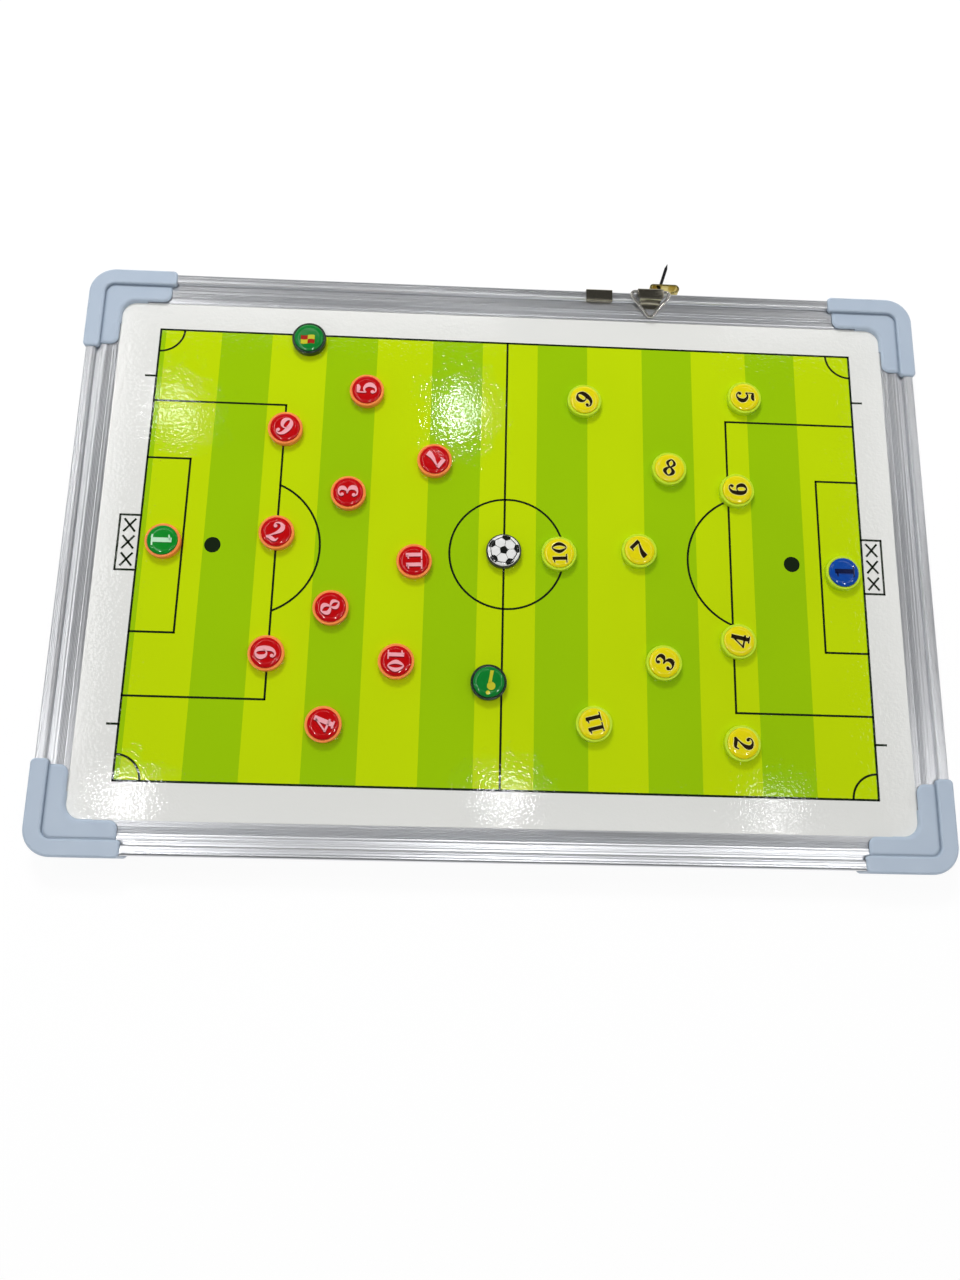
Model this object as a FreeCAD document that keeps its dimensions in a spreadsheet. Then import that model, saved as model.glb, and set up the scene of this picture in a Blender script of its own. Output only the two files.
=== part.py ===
import FreeCAD, Part
import os
import re

import Sketcher
from FreeCAD import Placement, Rotation, Vector

# how near two places must lie to count as the same one
TOLERANCE = 1e-4

# Magnetic football tactics board, lying on its back. The origin is the centre of the back sheet's
# outer face, X runs along the pitch, Y towards the hanger and Z out of the printed face.
SIZES = {
    # frame, measured over the aluminium rails
    "frame_length": 450.0,
    "frame_breadth": 310.8,
    # laminated board
    "back_thick": 0.3,
    "core_thick": 7.0,
    "face_thick": 0.4,
    "edge_gap": 0.3,
    # extruded rail
    "rail_width": 16.7,
    "rail_wall": 1.2,
    "rail_setback": 30.0,
    "bead_width": 5.3,
    "bead_rise": 2.8,
    "bead_round": 1.3,
    "groove_width": 2.0,
    "groove_rise": 0.5,
    "band_rise": 1.2,
    "nose_rise": 0.7,
    "nose_width": 2.4,
    "nose_foot": 0.2,
    "rib_width": 0.5,
    "rib_depth": 0.2,
    "back_lip": 13.5,
    # moulded corner cap
    "cap_wall": 1.1,
    "cap_gap": 0.15,
    "cap_arm": 45.3,
    "cap_band_arm": 43.0,
    "cap_lip": 0.2,
    "cap_outer_round": 14.0,
    "cap_step_round": 5.0,
    "cap_inner_round": 7.5,
    "cap_band_round": 4.5,
    "cap_end_round": 2.3,
    "cap_edge_round": 1.3,
    "cap_slope_round": 2.2,
    "tongue_length": 18.0,
    # flat-headed screws that hold a cap to its rails
    "screw_radius": 1.1,
    "screw_head_radius": 2.1,
    "screw_head_depth": 1.0,
    "screw_length": 6.5,
    "screw_place": 8.0,
    "screw_gap": 0.08,
    # hanger clips and the triangular ring
    "strip_thick": 0.5,
    "clip_gap": 0.3,
    "clip_foot": 3.0,
    "clip_bend": 0.7,
    "clip_corner": 1.5,
    "short_clip_width": 14.5,
    "long_clip_width": 14.2,
    "tongue_reach": 9.4,
    "tongue_flat": 2.4,
    "tongue_root": 4.0,
    "tongue_tip_width": 7.2,
    "short_clip_place": 51.7,
    "long_clip_place": 80.0,
    "wire_radius": 0.85,
    "wire_joint": 0.6,
    "bar_gap": 1.0,
    "bar_fit": 0.1,
    "ring_width": 24.9,
    "ring_reach": 15.4,
    "ring_corner": 1.8,
    "ring_tip": 2.2,
    "ring_tilt": 8.0,
    # folded brass picture hook and its nail
    "hook_thick": 1.0,
    "hook_height": 9.0,
    "hook_length": 15.5,
    "hook_lug": 7.0,
    "hook_fold_bend": 1.5,
    "hook_throat_bend": 2.0,
    "hook_fold_flat": 0.1,
    "hook_lip": 4.0,
    "hook_corner": 1.5,
    "hook_place": 81.5,
    "hook_stand": 7.8,
    "hook_foot_gap": 0.1,
    "nail_radius": 0.9,
    "nail_head_radius": 1.7,
    "nail_head_thick": 0.6,
    "nail_length": 21.5,
    "nail_point": 3.0,
    "nail_tip_radius": 0.15,
    "nail_stand": 1.4,
    "nail_lean": 17.0,
    "nail_place": 4.2,
    "nail_height": 5.6,
    "nail_fit": 0.08,
    # printed field inside its white border, which places the tokens
    "border_ends": 19.6,
    "border_sides": 17.25,
    "pitch_shift_along": 1.9,
    "pitch_shift_across": 1.1,
    # magnetic token
    "token_radius": 9.2,
    "token_height": 3.6,
    "token_draft": 0.3,
    "token_bevel": 0.6,
    "token_rim": 1.4,
    "token_gap": 0.1,
    "insert_depth": 1.2,
    "insert_rise": 1.2,
    "insert_edge": 0.15,
    "insert_gap": 0.05,
    "crown_drop": 0.7,
    "crown_reach": 1.5,
    "crown_round": 6.0,
    "magnet_radius": 6.2,
    "magnet_thick": 1.5,
    "magnet_recess": 0.2,
    # how far every cut runs past the solid
    "overrun": 2.0,
}

# Places of the fine grooves, as shares of the ribbed band's width from its outer edge
RIB_SHARES = (0.50, 0.60, 0.70, 0.80, 0.90)

# Places of the tokens, as shares of half the printed field's length and breadth
TOKEN_SHARES = {
    "token_red_02": (-0.627, 0.060),
    "token_red_03": (-0.438, 0.249),
    "token_red_04": (-0.471, -0.753),
    "token_red_05": (-0.401, 0.731),
    "token_red_06": (-0.632, -0.464),
    "token_red_07": (-0.203, 0.412),
    "token_red_08": (-0.469, -0.263),
    "token_red_09": (-0.623, 0.538),
    "token_red_10": (-0.288, -0.484),
    "token_red_11": (-0.250, -0.049),
    "token_red_keeper": (-0.931, 0.008),
    "token_yellow_02": (0.633, -0.789),
    "token_yellow_03": (0.429, -0.460),
    "token_yellow_04": (0.634, -0.359),
    "token_yellow_05": (0.680, 0.761),
    "token_yellow_06": (0.647, 0.318),
    "token_yellow_07": (0.368, 0.028),
    "token_yellow_08": (0.457, 0.409),
    "token_yellow_09": (0.218, 0.720),
    "token_yellow_10": (0.146, 0.004),
    "token_yellow_11": (0.239, -0.724),
    "token_yellow_keeper": (0.934, -0.043),
    "token_ball": (-0.006, 0.008),
    "token_whistle": (-0.041, -0.562),
    "token_flag": (-0.573, 0.973),
}

# Levels above the origin and places shared by several pieces, written in the names above
FACE_TOP = "(back_thick + core_thick + face_thick)"
BEAD_TOP = f"({FACE_TOP} + bead_rise)"
BAND_TOP = f"({FACE_TOP} + band_rise)"
CHANNEL = "(bead_width + groove_width)"
CHAMBER_TOP = f"({FACE_TOP} + groove_rise - rail_wall)"
CAP_PROUD = "(cap_wall + cap_gap)"
CAP_BASE = f"(0 - rail_wall - {CAP_PROUD})"
CAP_BEAD_TOP = f"({BEAD_TOP} + {CAP_PROUD})"
CAP_BAND_TOP = f"({BAND_TOP} + {CAP_PROUD})"
CAP_BEAD = f"({CHANNEL} + cap_gap)"
CAP_DEPTH = "(rail_width + cap_lip)"
SCREW_DEPTH = f"({CHANNEL} / 2)"
BAR_LEVEL = f"({BEAD_TOP} + bar_gap + wire_radius)"
BAR_INSET = "(wire_radius + bar_fit - clip_gap)"
LONG_CLIP_TOP = f"({BAR_LEVEL} + wire_radius + bar_fit + strip_thick)"
SHORT_CLIP_TOP = f"({BEAD_TOP} + clip_gap + strip_thick)"
PITCH_LENGTH = "(frame_length - 2 * rail_width - 2 * border_ends)"
PITCH_BREADTH = "(frame_breadth - 2 * rail_width - 2 * border_sides)"
HOOK_FOLD = "(2 * hook_fold_bend + hook_fold_flat)"
HOOK_THROAT = "(2 * hook_throat_bend + hook_fold_flat)"

doc = FreeCAD.newDocument("tactics_board")
sheet = doc.addObject("Spreadsheet::Sheet", "Sizes")
for row, (alias, number) in enumerate(SIZES.items(), start=1):
    sheet.set(f"A{row}", alias)
    sheet.set(f"B{row}", str(number))
    sheet.setAlias(f"B{row}", alias)
doc.recompute()


def bound(text):
    """The text of an expression on the sheet's names."""
    return re.sub(r"[a-z_]+", r"Sizes.\g<0>", text)


def value(text):
    """The number that an expression on the sheet's names gives."""
    return float(sheet.evalExpression(bound(text)))


def bind(item, **properties):
    """Ties properties of an object to expressions; a double underscore stands for a dot."""
    for name, text in properties.items():
        item.setExpression(name.replace("__", "."), bound(text))


def place(item, along="0", across="0", up="0", turn=0):
    """Puts a sub-part at its place, turned about Z by whole degrees."""
    item.Placement = Placement(Vector(), Rotation(Vector(0, 0, 1), turn))
    bind(item, Placement__Base__x=along, Placement__Base__y=across, Placement__Base__z=up)


def new_body(label):
    """An empty body with its label."""
    body = doc.addObject("PartDesign::Body", label)
    body.Label = label
    return body


def new_sketch(body, plane, offset="0"):
    """A sketch on one of the body's own origin planes, moved along that plane's normal."""
    sketch = body.newObject("Sketcher::SketchObject", f"{body.Name}_sketch")
    support = [item for item in body.Origin.OriginFeatures if item.Role == plane]
    sketch.AttachmentSupport = [(support[0], "")]
    sketch.MapMode = "FlatFace"
    sketch.setExpression("AttachmentOffset.Base.z", bound(offset))
    return sketch


def tie_point(sketch, curve, end, x, y):
    """Fixes a curve's end at a place given in the sheet's names."""
    for kind, text in (("DistanceX", x), ("DistanceY", y)):
        tie = sketch.addConstraint(Sketcher.Constraint(kind, -1, 1, curve, end, value(text)))
        sketch.setExpression(f"Constraints[{tie}]", bound(text))


def draw_polygon(sketch, corners):
    """A closed outline of straight sides through corners given in the sheet's names."""
    spots = [Vector(value(x), value(y), 0) for x, y in corners]
    sides = []
    for start, stop in zip(spots, spots[1:] + spots[:1]):
        sides.append(sketch.addGeometry(Part.LineSegment(start, stop)))
    for side, following in zip(sides, sides[1:] + sides[:1]):
        sketch.addConstraint(Sketcher.Constraint("Coincident", side, 2, following, 1))
    for side, (x, y) in zip(sides, corners):
        tie_point(sketch, side, 1, x, y)


def draw_rectangle(sketch, low, high):
    """A rectangle between two corners given in the sheet's names."""
    draw_polygon(sketch, [low, (high[0], low[1]), high, (low[0], high[1])])


def draw_circle(sketch, x, y, radius):
    """A circle with its centre and radius tied to the sheet's names."""
    circle = Part.Circle(Vector(value(x), value(y), 0), Vector(0, 0, 1), value(radius))
    curve = sketch.addGeometry(circle)
    tie_point(sketch, curve, 3, x, y)
    tie = sketch.addConstraint(Sketcher.Constraint("Radius", curve, value(radius)))
    sketch.setExpression(f"Constraints[{tie}]", bound(radius))


def draw_bent_line(sketch, corners, bends, closed=False):
    """A line through corners given in the sheet's names, each inner corner bent round."""
    spots = [Vector(value(x), value(y), 0) for x, y in corners]
    start = spots[0]
    for before, corner, after, bend in zip(spots, spots[1:], spots[2:], bends):
        back = (before - corner).normalize()
        ahead = (after - corner).normalize()
        middle = (back + ahead).normalize()
        half_sine = back.cross(middle).Length
        run = value(bend) * back.dot(middle) / half_sine
        inset = value(bend) / half_sine - value(bend)
        first = corner + back * run
        last = corner + ahead * run
        sketch.addGeometry(Part.LineSegment(start, first))
        sketch.addGeometry(Part.Arc(first, corner + middle * inset, last))
        start = last
    sketch.addGeometry(Part.LineSegment(start, spots[-1]))
    if closed:
        sketch.addGeometry(Part.LineSegment(spots[-1], spots[0]))


def add_pad(body, sketch, length, symmetric=False):
    """Extrudes a sketch into the body."""
    pad = body.newObject("PartDesign::Pad", f"{body.Name}_pad")
    pad.Profile = sketch
    pad.SideType = "Symmetric" if symmetric else "One side"
    bind(pad, Length=length)
    doc.recompute()
    return pad


def add_pocket(body, sketch, length, reverse=False):
    """Cuts a sketch out of the body and makes sure that it took material away."""
    before = body.Shape.Volume
    pocket = body.newObject("PartDesign::Pocket", f"{body.Name}_pocket")
    pocket.Profile = sketch
    pocket.Reversed = reverse
    bind(pocket, Length=length)
    doc.recompute()
    if body.Shape.Volume >= before:
        raise RuntimeError(f"{body.Label}: a pocket took nothing away")
    return pocket


def add_turn(body, sketch):
    """Turns a half section about the upright axis into the body."""
    turned = body.newObject("PartDesign::Revolution", f"{body.Name}_turned")
    turned.Profile = sketch
    turned.ReferenceAxis = (sketch, ["V_Axis"])
    turned.Angle = 360
    doc.recompute()
    return turned


def add_pipe(body, profile, path):
    """Sweeps a profile along an open path sketch."""
    pipe = body.newObject("PartDesign::AdditivePipe", f"{body.Name}_pipe")
    pipe.Profile = profile
    pipe.Spine = path
    doc.recompute()
    return pipe


def add_fillet(body, radius, chosen):
    """Rounds the edges that the test chooses by their middle point and direction."""
    solid = body.Tip
    names = []
    for number, edge in enumerate(solid.Shape.Edges, start=1):
        if chosen(edge):
            names.append(f"Edge{number}")
    if not names:
        raise RuntimeError(f"{body.Label}: no edge to round")
    fillet = body.newObject("PartDesign::Fillet", f"{body.Name}_fillet")
    fillet.Base = (solid, names)
    bind(fillet, Radius=radius)
    doc.recompute()
    if "Invalid" in fillet.State:
        raise RuntimeError(f"{body.Label}: {radius} can't be rounded")
    return fillet


def as_long_as(length):
    """A test for the short edges at a strip's ends, which are as long as the strip is thick."""
    return lambda edge: abs(edge.Length - value(length)) < TOLERANCE


def upright_at(*spots):
    """A test for upright edges that stand at one of the places given."""
    places = [Vector(value(x), value(y), 0) for x, y in spots]

    def chosen(edge):
        ends = [vertex.Point for vertex in edge.Vertexes]
        if len(ends) < 2 or (ends[0] - ends[1]).cross(Vector(0, 0, 1)).Length > TOLERANCE:
            return False
        foot = Vector(ends[0].x, ends[0].y, 0)
        return any((foot - spot).Length < TOLERANCE for spot in places)

    return chosen


def level_at(level, keep=None):
    """A test for edges that lie at one level, and pass a further test of their middle if given."""
    height = value(level)

    def chosen(edge):
        box = edge.BoundBox
        flat = abs(box.ZMin - height) < TOLERANCE and abs(box.ZMax - height) < TOLERANCE
        return flat and (keep is None or keep(edge.CenterOfMass))

    return chosen


def make_sheet(label, low, thick):
    """A flat layer of the laminate, held in the rails' channels."""
    body = new_body(label)
    half_length = f"(frame_length / 2 - {CHANNEL} - edge_gap)"
    half_breadth = f"(frame_breadth / 2 - {CHANNEL} - edge_gap)"
    sketch = new_sketch(body, "XY_Plane", low)
    draw_rectangle(sketch, (f"0 - {half_length}", f"0 - {half_breadth}"), (half_length, half_breadth))
    add_pad(body, sketch, thick)
    return body


def band_line(share):
    """A point of the ribbed band's sloping top, at a share of its width from the groove."""
    width = f"(rail_width - nose_width - {CHANNEL})"
    along = f"({CHANNEL} + {share} * {width})"
    up = f"({BAND_TOP} + {share} * (nose_rise - band_rise))"
    return along, up


def make_rail(label, length, along, across, turn):
    """A hollow extrusion: bead, groove, ribbed band and the channel that grips the board."""
    body = new_body(label)
    outline = [
        ("0", "0 - rail_wall"),
        ("0", BEAD_TOP),
        ("0 - bead_width", BEAD_TOP),
        ("0 - bead_width", f"{FACE_TOP} + groove_rise"),
        (f"0 - {CHANNEL}", f"{FACE_TOP} + groove_rise"),
        (f"0 - {CHANNEL}", BAND_TOP),
    ]
    for share in RIB_SHARES:
        place_in, up = band_line(share)
        outline.append((f"0 - {place_in} + rib_width / 2", up))
        outline.append((f"0 - {place_in}", f"{up} - rib_depth"))
        outline.append((f"0 - {place_in} - rib_width / 2", up))
    outline += [
        ("nose_width - rail_width", f"{FACE_TOP} + nose_rise"),
        ("0 - rail_width", f"{FACE_TOP} + nose_foot"),
        ("0 - rail_width", FACE_TOP),
        (f"0 - {CHANNEL}", FACE_TOP),
        (f"0 - {CHANNEL}", "0"),
        ("0 - back_lip", "0"),
        ("0 - back_lip", "0 - rail_wall"),
    ]
    section = new_sketch(body, "YZ_Plane")
    draw_polygon(section, outline)
    draw_rectangle(section, (f"rail_wall - {CHANNEL}", "0"), ("0 - rail_wall", CHAMBER_TOP))
    add_pad(body, section, length, symmetric=True)
    add_fillet(body, "bead_round", level_at(BEAD_TOP, lambda middle: abs(middle.x) < TOLERANCE))
    holes = new_sketch(body, "XY_Plane", "0 - rail_wall")
    for side in (-1, 1):
        end = f"{side} * ({length} / 2 - screw_place)"
        draw_circle(holes, end, f"0 - {SCREW_DEPTH}", "screw_radius + screw_gap")
    add_pocket(body, holes, "rail_wall + overrun", reverse=True)
    place(body, along, across, "0", turn)
    return body


def make_cap(label, along, across, turn):
    """A moulded corner cap that sleeves over two rails and plugs into their hollow chambers."""
    body = new_body(label)
    proud = f"0 - {CAP_PROUD}"
    band = new_sketch(body, "XY_Plane", CAP_BASE)
    draw_polygon(
        band,
        [
            (proud, proud),
            ("cap_band_arm", proud),
            ("cap_band_arm", CAP_DEPTH),
            (CAP_DEPTH, CAP_DEPTH),
            (CAP_DEPTH, "cap_band_arm"),
            (proud, "cap_band_arm"),
        ],
    )
    add_pad(body, band, f"{CAP_BAND_TOP} - {CAP_BASE}")
    bead = new_sketch(body, "XY_Plane", CAP_BASE)
    draw_polygon(
        bead,
        [
            (proud, proud),
            ("cap_arm", proud),
            ("cap_arm", CAP_BEAD),
            (CAP_BEAD, CAP_BEAD),
            (CAP_BEAD, "cap_arm"),
            (proud, "cap_arm"),
        ],
    )
    add_pad(body, bead, f"{CAP_BEAD_TOP} - {CAP_BASE}")
    add_fillet(body, "cap_outer_round", upright_at((proud, proud)))
    add_fillet(body, "cap_inner_round", upright_at((CAP_DEPTH, CAP_DEPTH)))
    add_fillet(body, "cap_step_round", upright_at((CAP_BEAD, CAP_BEAD)))
    band_ends = upright_at(("cap_band_arm", CAP_DEPTH), (CAP_DEPTH, "cap_band_arm"))
    add_fillet(body, "cap_band_round", band_ends)
    bead_ends = upright_at(
        ("cap_arm", proud), (proud, "cap_arm"), ("cap_arm", CAP_BEAD), (CAP_BEAD, "cap_arm")
    )
    add_fillet(body, "cap_end_round", bead_ends)
    add_fillet(body, "cap_edge_round", level_at(CAP_BEAD_TOP))
    step = value(f"{CAP_BEAD} + cap_step_round")
    add_fillet(
        body,
        "cap_slope_round",
        level_at(CAP_BAND_TOP, lambda middle: min(middle.x, middle.y) > step),
    )

    # sleeve for each rail, then the slot for the board's corner
    sleeve = [
        ("0 - cap_gap", "0 - rail_wall - cap_gap"),
        ("0 - cap_gap", f"{BEAD_TOP} + cap_gap"),
        ("bead_width + cap_gap", f"{BEAD_TOP} + cap_gap"),
        ("bead_width + cap_gap", f"{BAND_TOP} + cap_gap"),
        ("rail_width + overrun", f"{BAND_TOP} + cap_gap"),
        ("rail_width + overrun", "0 - rail_wall - cap_gap"),
    ]
    start = "(rail_setback - cap_gap)"
    across_x = new_sketch(body, "YZ_Plane", start)
    draw_polygon(across_x, sleeve)
    add_pocket(body, across_x, "cap_arm + overrun", reverse=True)
    across_y = new_sketch(body, "XZ_Plane", f"0 - {start}")
    draw_polygon(across_y, sleeve)
    add_pocket(body, across_y, "cap_arm + overrun")
    slot = new_sketch(body, "XY_Plane")
    draw_rectangle(slot, (CHANNEL, CHANNEL), ("cap_arm + overrun", "cap_arm + overrun"))
    add_pocket(body, slot, FACE_TOP, reverse=True)

    # tongues in the rails' chambers and the screw holes through the back
    tongue = [
        ("rail_wall + cap_gap", "cap_gap"),
        (f"{CHANNEL} - rail_wall - cap_gap", f"{CHAMBER_TOP} - cap_gap"),
    ]
    root = f"({start} - overrun)"
    along_x = new_sketch(body, "YZ_Plane", root)
    draw_rectangle(along_x, *tongue)
    add_pad(body, along_x, "tongue_length + overrun")
    along_y = new_sketch(body, "XZ_Plane", f"0 - {root}")
    draw_rectangle(along_y, *tongue)
    pad = add_pad(body, along_y, "tongue_length + overrun")
    pad.Reversed = True
    doc.recompute()
    depth = "screw_length + screw_gap"
    drill_screw_holes(body, "screw_radius + screw_gap", depth)
    drill_screw_holes(body, "screw_head_radius + screw_gap", "screw_head_depth")
    place(body, along, across, "0", turn)
    return body


def drill_screw_holes(body, radius, depth):
    """Two round holes in a cap's back, one in each arm."""
    holes = new_sketch(body, "XY_Plane", CAP_BASE)
    spot = "(rail_setback + screw_place)"
    draw_circle(holes, spot, SCREW_DEPTH, radius)
    draw_circle(holes, SCREW_DEPTH, spot, radius)
    add_pocket(body, holes, depth, reverse=True)


def make_screw(label, along, across):
    """A flat-headed screw, standing head down in a cap's back."""
    head = doc.addObject("Part::Cylinder", f"{label}_head")
    bind(head, Radius="screw_head_radius", Height="screw_head_depth")
    shank = doc.addObject("Part::Cylinder", f"{label}_shank")
    bind(shank, Radius="screw_radius", Height="screw_length")
    screw = doc.addObject("Part::Fuse", label)
    screw.Base = head
    screw.Tool = shank
    place(screw, along, across, CAP_BASE)
    return screw


def make_corner_screws(label, corners):
    """All the screws, a pair at each corner, as one group of separate solids."""
    spot = "rail_setback + screw_place"
    pair = doc.addObject("Part::Compound", "screw_pair")
    pair.Links = [make_screw("screw_a", spot, SCREW_DEPTH), make_screw("screw_b", SCREW_DEPTH, spot)]
    sets = []
    for along, across, turn in corners:
        corner_set = doc.addObject("Part::Compound", "screw_set")
        corner_set.Links = [pair]
        place(corner_set, along, across, "0", turn)
        sets.append(corner_set)
    group = doc.addObject("Part::Compound", label)
    group.Label = label
    group.Links = sets
    return group


def make_clip(label, width, along, crest, tail):
    """A strip bent over the rail's bead and under its back, with its top at the crest's level."""
    body = new_body(label)
    skin = "(clip_gap + strip_thick / 2)"
    low = f"(0 - rail_wall - {skin})"
    top = f"({crest} - strip_thick / 2)"
    corners = [("0 - clip_foot", low), (skin, low), (skin, top)] + tail(skin, top)
    path = new_sketch(body, "YZ_Plane")
    draw_bent_line(path, corners, ["clip_bend"] * (len(corners) - 2))
    section = new_sketch(body, "XZ_Plane", "clip_foot")
    half = f"({width} / 2)"
    draw_rectangle(
        section,
        (f"0 - {half}", f"{low} - strip_thick / 2"),
        (half, f"{low} + strip_thick / 2"),
    )
    add_pipe(body, section, path)
    add_fillet(body, "clip_corner", as_long_as("strip_thick"))
    place(body, along, "frame_breadth / 2")
    return body


def short_tail(skin, top):
    """The short clip's front end, a lip that drops into the rail's groove."""
    front = f"(0 - bead_width - {skin})"
    return [(front, top), (front, f"{FACE_TOP} + groove_rise + clip_gap")]


def long_tail(skin, top):
    """The long clip's front end, a tongue that comes down on the ribbed band."""
    rest = f"({BAND_TOP} + {skin})"
    return [
        ("0 - bead_width", top),
        ("tongue_flat - tongue_reach", rest),
        ("0 - tongue_reach", rest),
    ]


def taper_tongue(body):
    """Narrows the long clip's tongue, so that it lies inside the ring."""
    half = "(long_clip_width / 2)"
    tip = "(tongue_tip_width / 2)"
    sides = new_sketch(body, "XY_Plane", FACE_TOP)
    for side in (-1, 1):
        draw_polygon(
            sides,
            [
                (f"{side} * {half}", "0 - tongue_root"),
                (f"{side} * ({half} + overrun)", "0 - tongue_root"),
                (f"{side} * ({half} + overrun)", "0 - tongue_reach"),
                (f"{side} * {tip}", "0 - tongue_reach"),
            ],
        )
    add_pocket(body, sides, f"{LONG_CLIP_TOP} - {FACE_TOP} + overrun", reverse=True)
    corners = upright_at((tip, "0 - tongue_reach"), (f"0 - {tip}", "0 - tongue_reach"))
    add_fillet(body, "clip_corner", corners)


def make_ring(label):
    """A triangular ring of bent wire, open at the joint in its bar, lying over the rail."""
    body = new_body(label)
    half = "(ring_width / 2)"
    joint = "(wire_joint / 2)"
    path = new_sketch(body, "XY_Plane")
    draw_bent_line(
        path,
        [(joint, "0"), (half, "0"), ("0", "0 - ring_reach"), (f"0 - {half}", "0"), (f"0 - {joint}", "0")],
        ["ring_corner", "ring_tip", "ring_corner"],
    )
    section = new_sketch(body, "YZ_Plane", joint)
    draw_circle(section, "0", "0", "wire_radius")
    add_pipe(body, section, path)
    body.Placement = Placement(Vector(), Rotation(Vector(1, 0, 0), value("ring_tilt")))
    bind(
        body,
        Placement__Base__x="long_clip_place",
        Placement__Base__y=f"frame_breadth / 2 - {BAR_INSET}",
        Placement__Base__z=BAR_LEVEL,
    )
    return body


def make_hook(label):
    """A brass strip folded into a lug at one end and a hook at the other, standing on its edge."""
    body = new_body(label)
    path = new_sketch(body, "XY_Plane")
    draw_bent_line(
        path,
        [
            ("hook_lug", f"0 - {HOOK_FOLD}"),
            ("0", f"0 - {HOOK_FOLD}"),
            ("0", "0"),
            ("hook_length", "0"),
            ("hook_length", f"0 - {HOOK_THROAT}"),
            ("hook_length - hook_lip", f"0 - {HOOK_THROAT}"),
        ],
        ["hook_fold_bend", "hook_fold_bend", "hook_throat_bend", "hook_throat_bend"],
    )
    section = new_sketch(body, "YZ_Plane", "hook_lug")
    draw_rectangle(
        section,
        (f"0 - {HOOK_FOLD} - hook_thick / 2", "0"),
        (f"hook_thick / 2 - {HOOK_FOLD}", "hook_height"),
    )
    add_pipe(body, section, path)
    add_fillet(body, "hook_corner", as_long_as("hook_thick"))
    hole = doc.addObject("Part::Cylinder", "hook_nail_hole")
    bind(hole, Radius="nail_radius + nail_fit", Height="nail_length")
    hole.Placement = nail_placement()
    hook = doc.addObject("Part::Cut", label)
    hook.Base = body
    hook.Tool = hole
    body.Label = f"{label}_strip"
    hook.Label = label
    place_hook(hook)
    return hook


def nail_placement():
    """Where the nail stands in the hook: through the lug and the strip, leaning to the hook's end."""
    lean = Rotation(Vector(0, 0, 1), 0 - value("nail_lean"))
    flat = Rotation(Vector(0, 0, 1), Vector(0, 1, 0))
    front = value(f"0 - {HOOK_FOLD} - hook_thick / 2 - nail_stand")
    return Placement(Vector(value("nail_place"), front, value("nail_height")), lean * flat)


def place_hook(item):
    """Stands the hook behind the top rail, on the surface that the caps stand on."""
    place(
        item,
        "hook_place",
        "frame_breadth / 2 + hook_stand",
        f"{CAP_BASE} + hook_foot_gap",
    )


def make_nail(label):
    """A hardened nail with a round head and a long point."""
    head = doc.addObject("Part::Cylinder", "nail_head")
    bind(head, Radius="nail_head_radius", Height="nail_head_thick")
    shank = doc.addObject("Part::Cylinder", "nail_shank")
    bind(shank, Radius="nail_radius", Height="nail_length - nail_point")
    point = doc.addObject("Part::Cone", "nail_point_cone")
    bind(point, Radius1="nail_radius", Radius2="nail_tip_radius", Height="nail_point")
    bind(point, Placement__Base__z="nail_length - nail_point")
    pieces = doc.addObject("Part::MultiFuse", "nail_pieces")
    pieces.Shapes = [head, shank, point]
    pieces.Placement = nail_placement()
    nail = doc.addObject("Part::Compound", label)
    nail.Label = label
    nail.Links = [pieces]
    place_hook(nail)
    return nail


def make_token_pieces():
    """The pieces that every token shares: rimmed cup, ferrite magnet and crowned insert."""
    cup = new_body("token_cup")
    seat = "(token_height - insert_depth)"
    roof = "(magnet_thick + magnet_recess)"
    pocket = "(token_radius - token_rim)"
    section = new_sketch(cup, "XZ_Plane")
    draw_polygon(
        section,
        [
            ("magnet_radius + insert_gap", "0"),
            ("token_radius - token_draft", "0"),
            ("token_radius", "token_height - token_bevel"),
            ("token_radius - token_bevel", "token_height"),
            (pocket, "token_height"),
            (pocket, seat),
            ("0", seat),
            ("0", roof),
            ("magnet_radius + insert_gap", roof),
        ],
    )
    add_turn(cup, section)

    magnet = doc.addObject("Part::Cylinder", "token_magnet")
    bind(magnet, Radius="magnet_radius", Height="magnet_thick", Placement__Base__z="magnet_recess")

    insert = new_body("token_insert")
    edge = f"({pocket} - insert_gap)"
    crown = "(token_height + insert_rise)"
    pillow = new_sketch(insert, "XZ_Plane")
    draw_bent_line(
        pillow,
        [
            ("0", seat),
            (edge, seat),
            (edge, f"{crown} - crown_drop"),
            (f"{edge} - crown_reach", crown),
            ("0", crown),
        ],
        ["insert_edge", "insert_edge", "crown_round"],
        closed=True,
    )
    add_turn(insert, pillow)
    return [cup, magnet, insert]


def make_token(label, shares, pieces):
    """One magnetic token at its place on the field."""
    token = doc.addObject("Part::Compound", label)
    token.Label = label
    token.Links = pieces
    along, across = shares
    place(
        token,
        f"pitch_shift_along + {along} * {PITCH_LENGTH} / 2",
        f"pitch_shift_across + {across} * {PITCH_BREADTH} / 2",
        f"{FACE_TOP} + token_gap",
    )
    return token


left, right = "0 - frame_length / 2", "frame_length / 2"
bottom, top = "0 - frame_breadth / 2", "frame_breadth / 2"
CORNERS = {
    "bottom_left": (left, bottom),
    "bottom_right": (right, bottom),
    "top_right": (right, top),
    "top_left": (left, top),
}
# each corner's pieces stand a quarter turn further than those of the corner before it
corner_places = [(*spot, number * 90) for number, spot in enumerate(CORNERS.values())]

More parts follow.
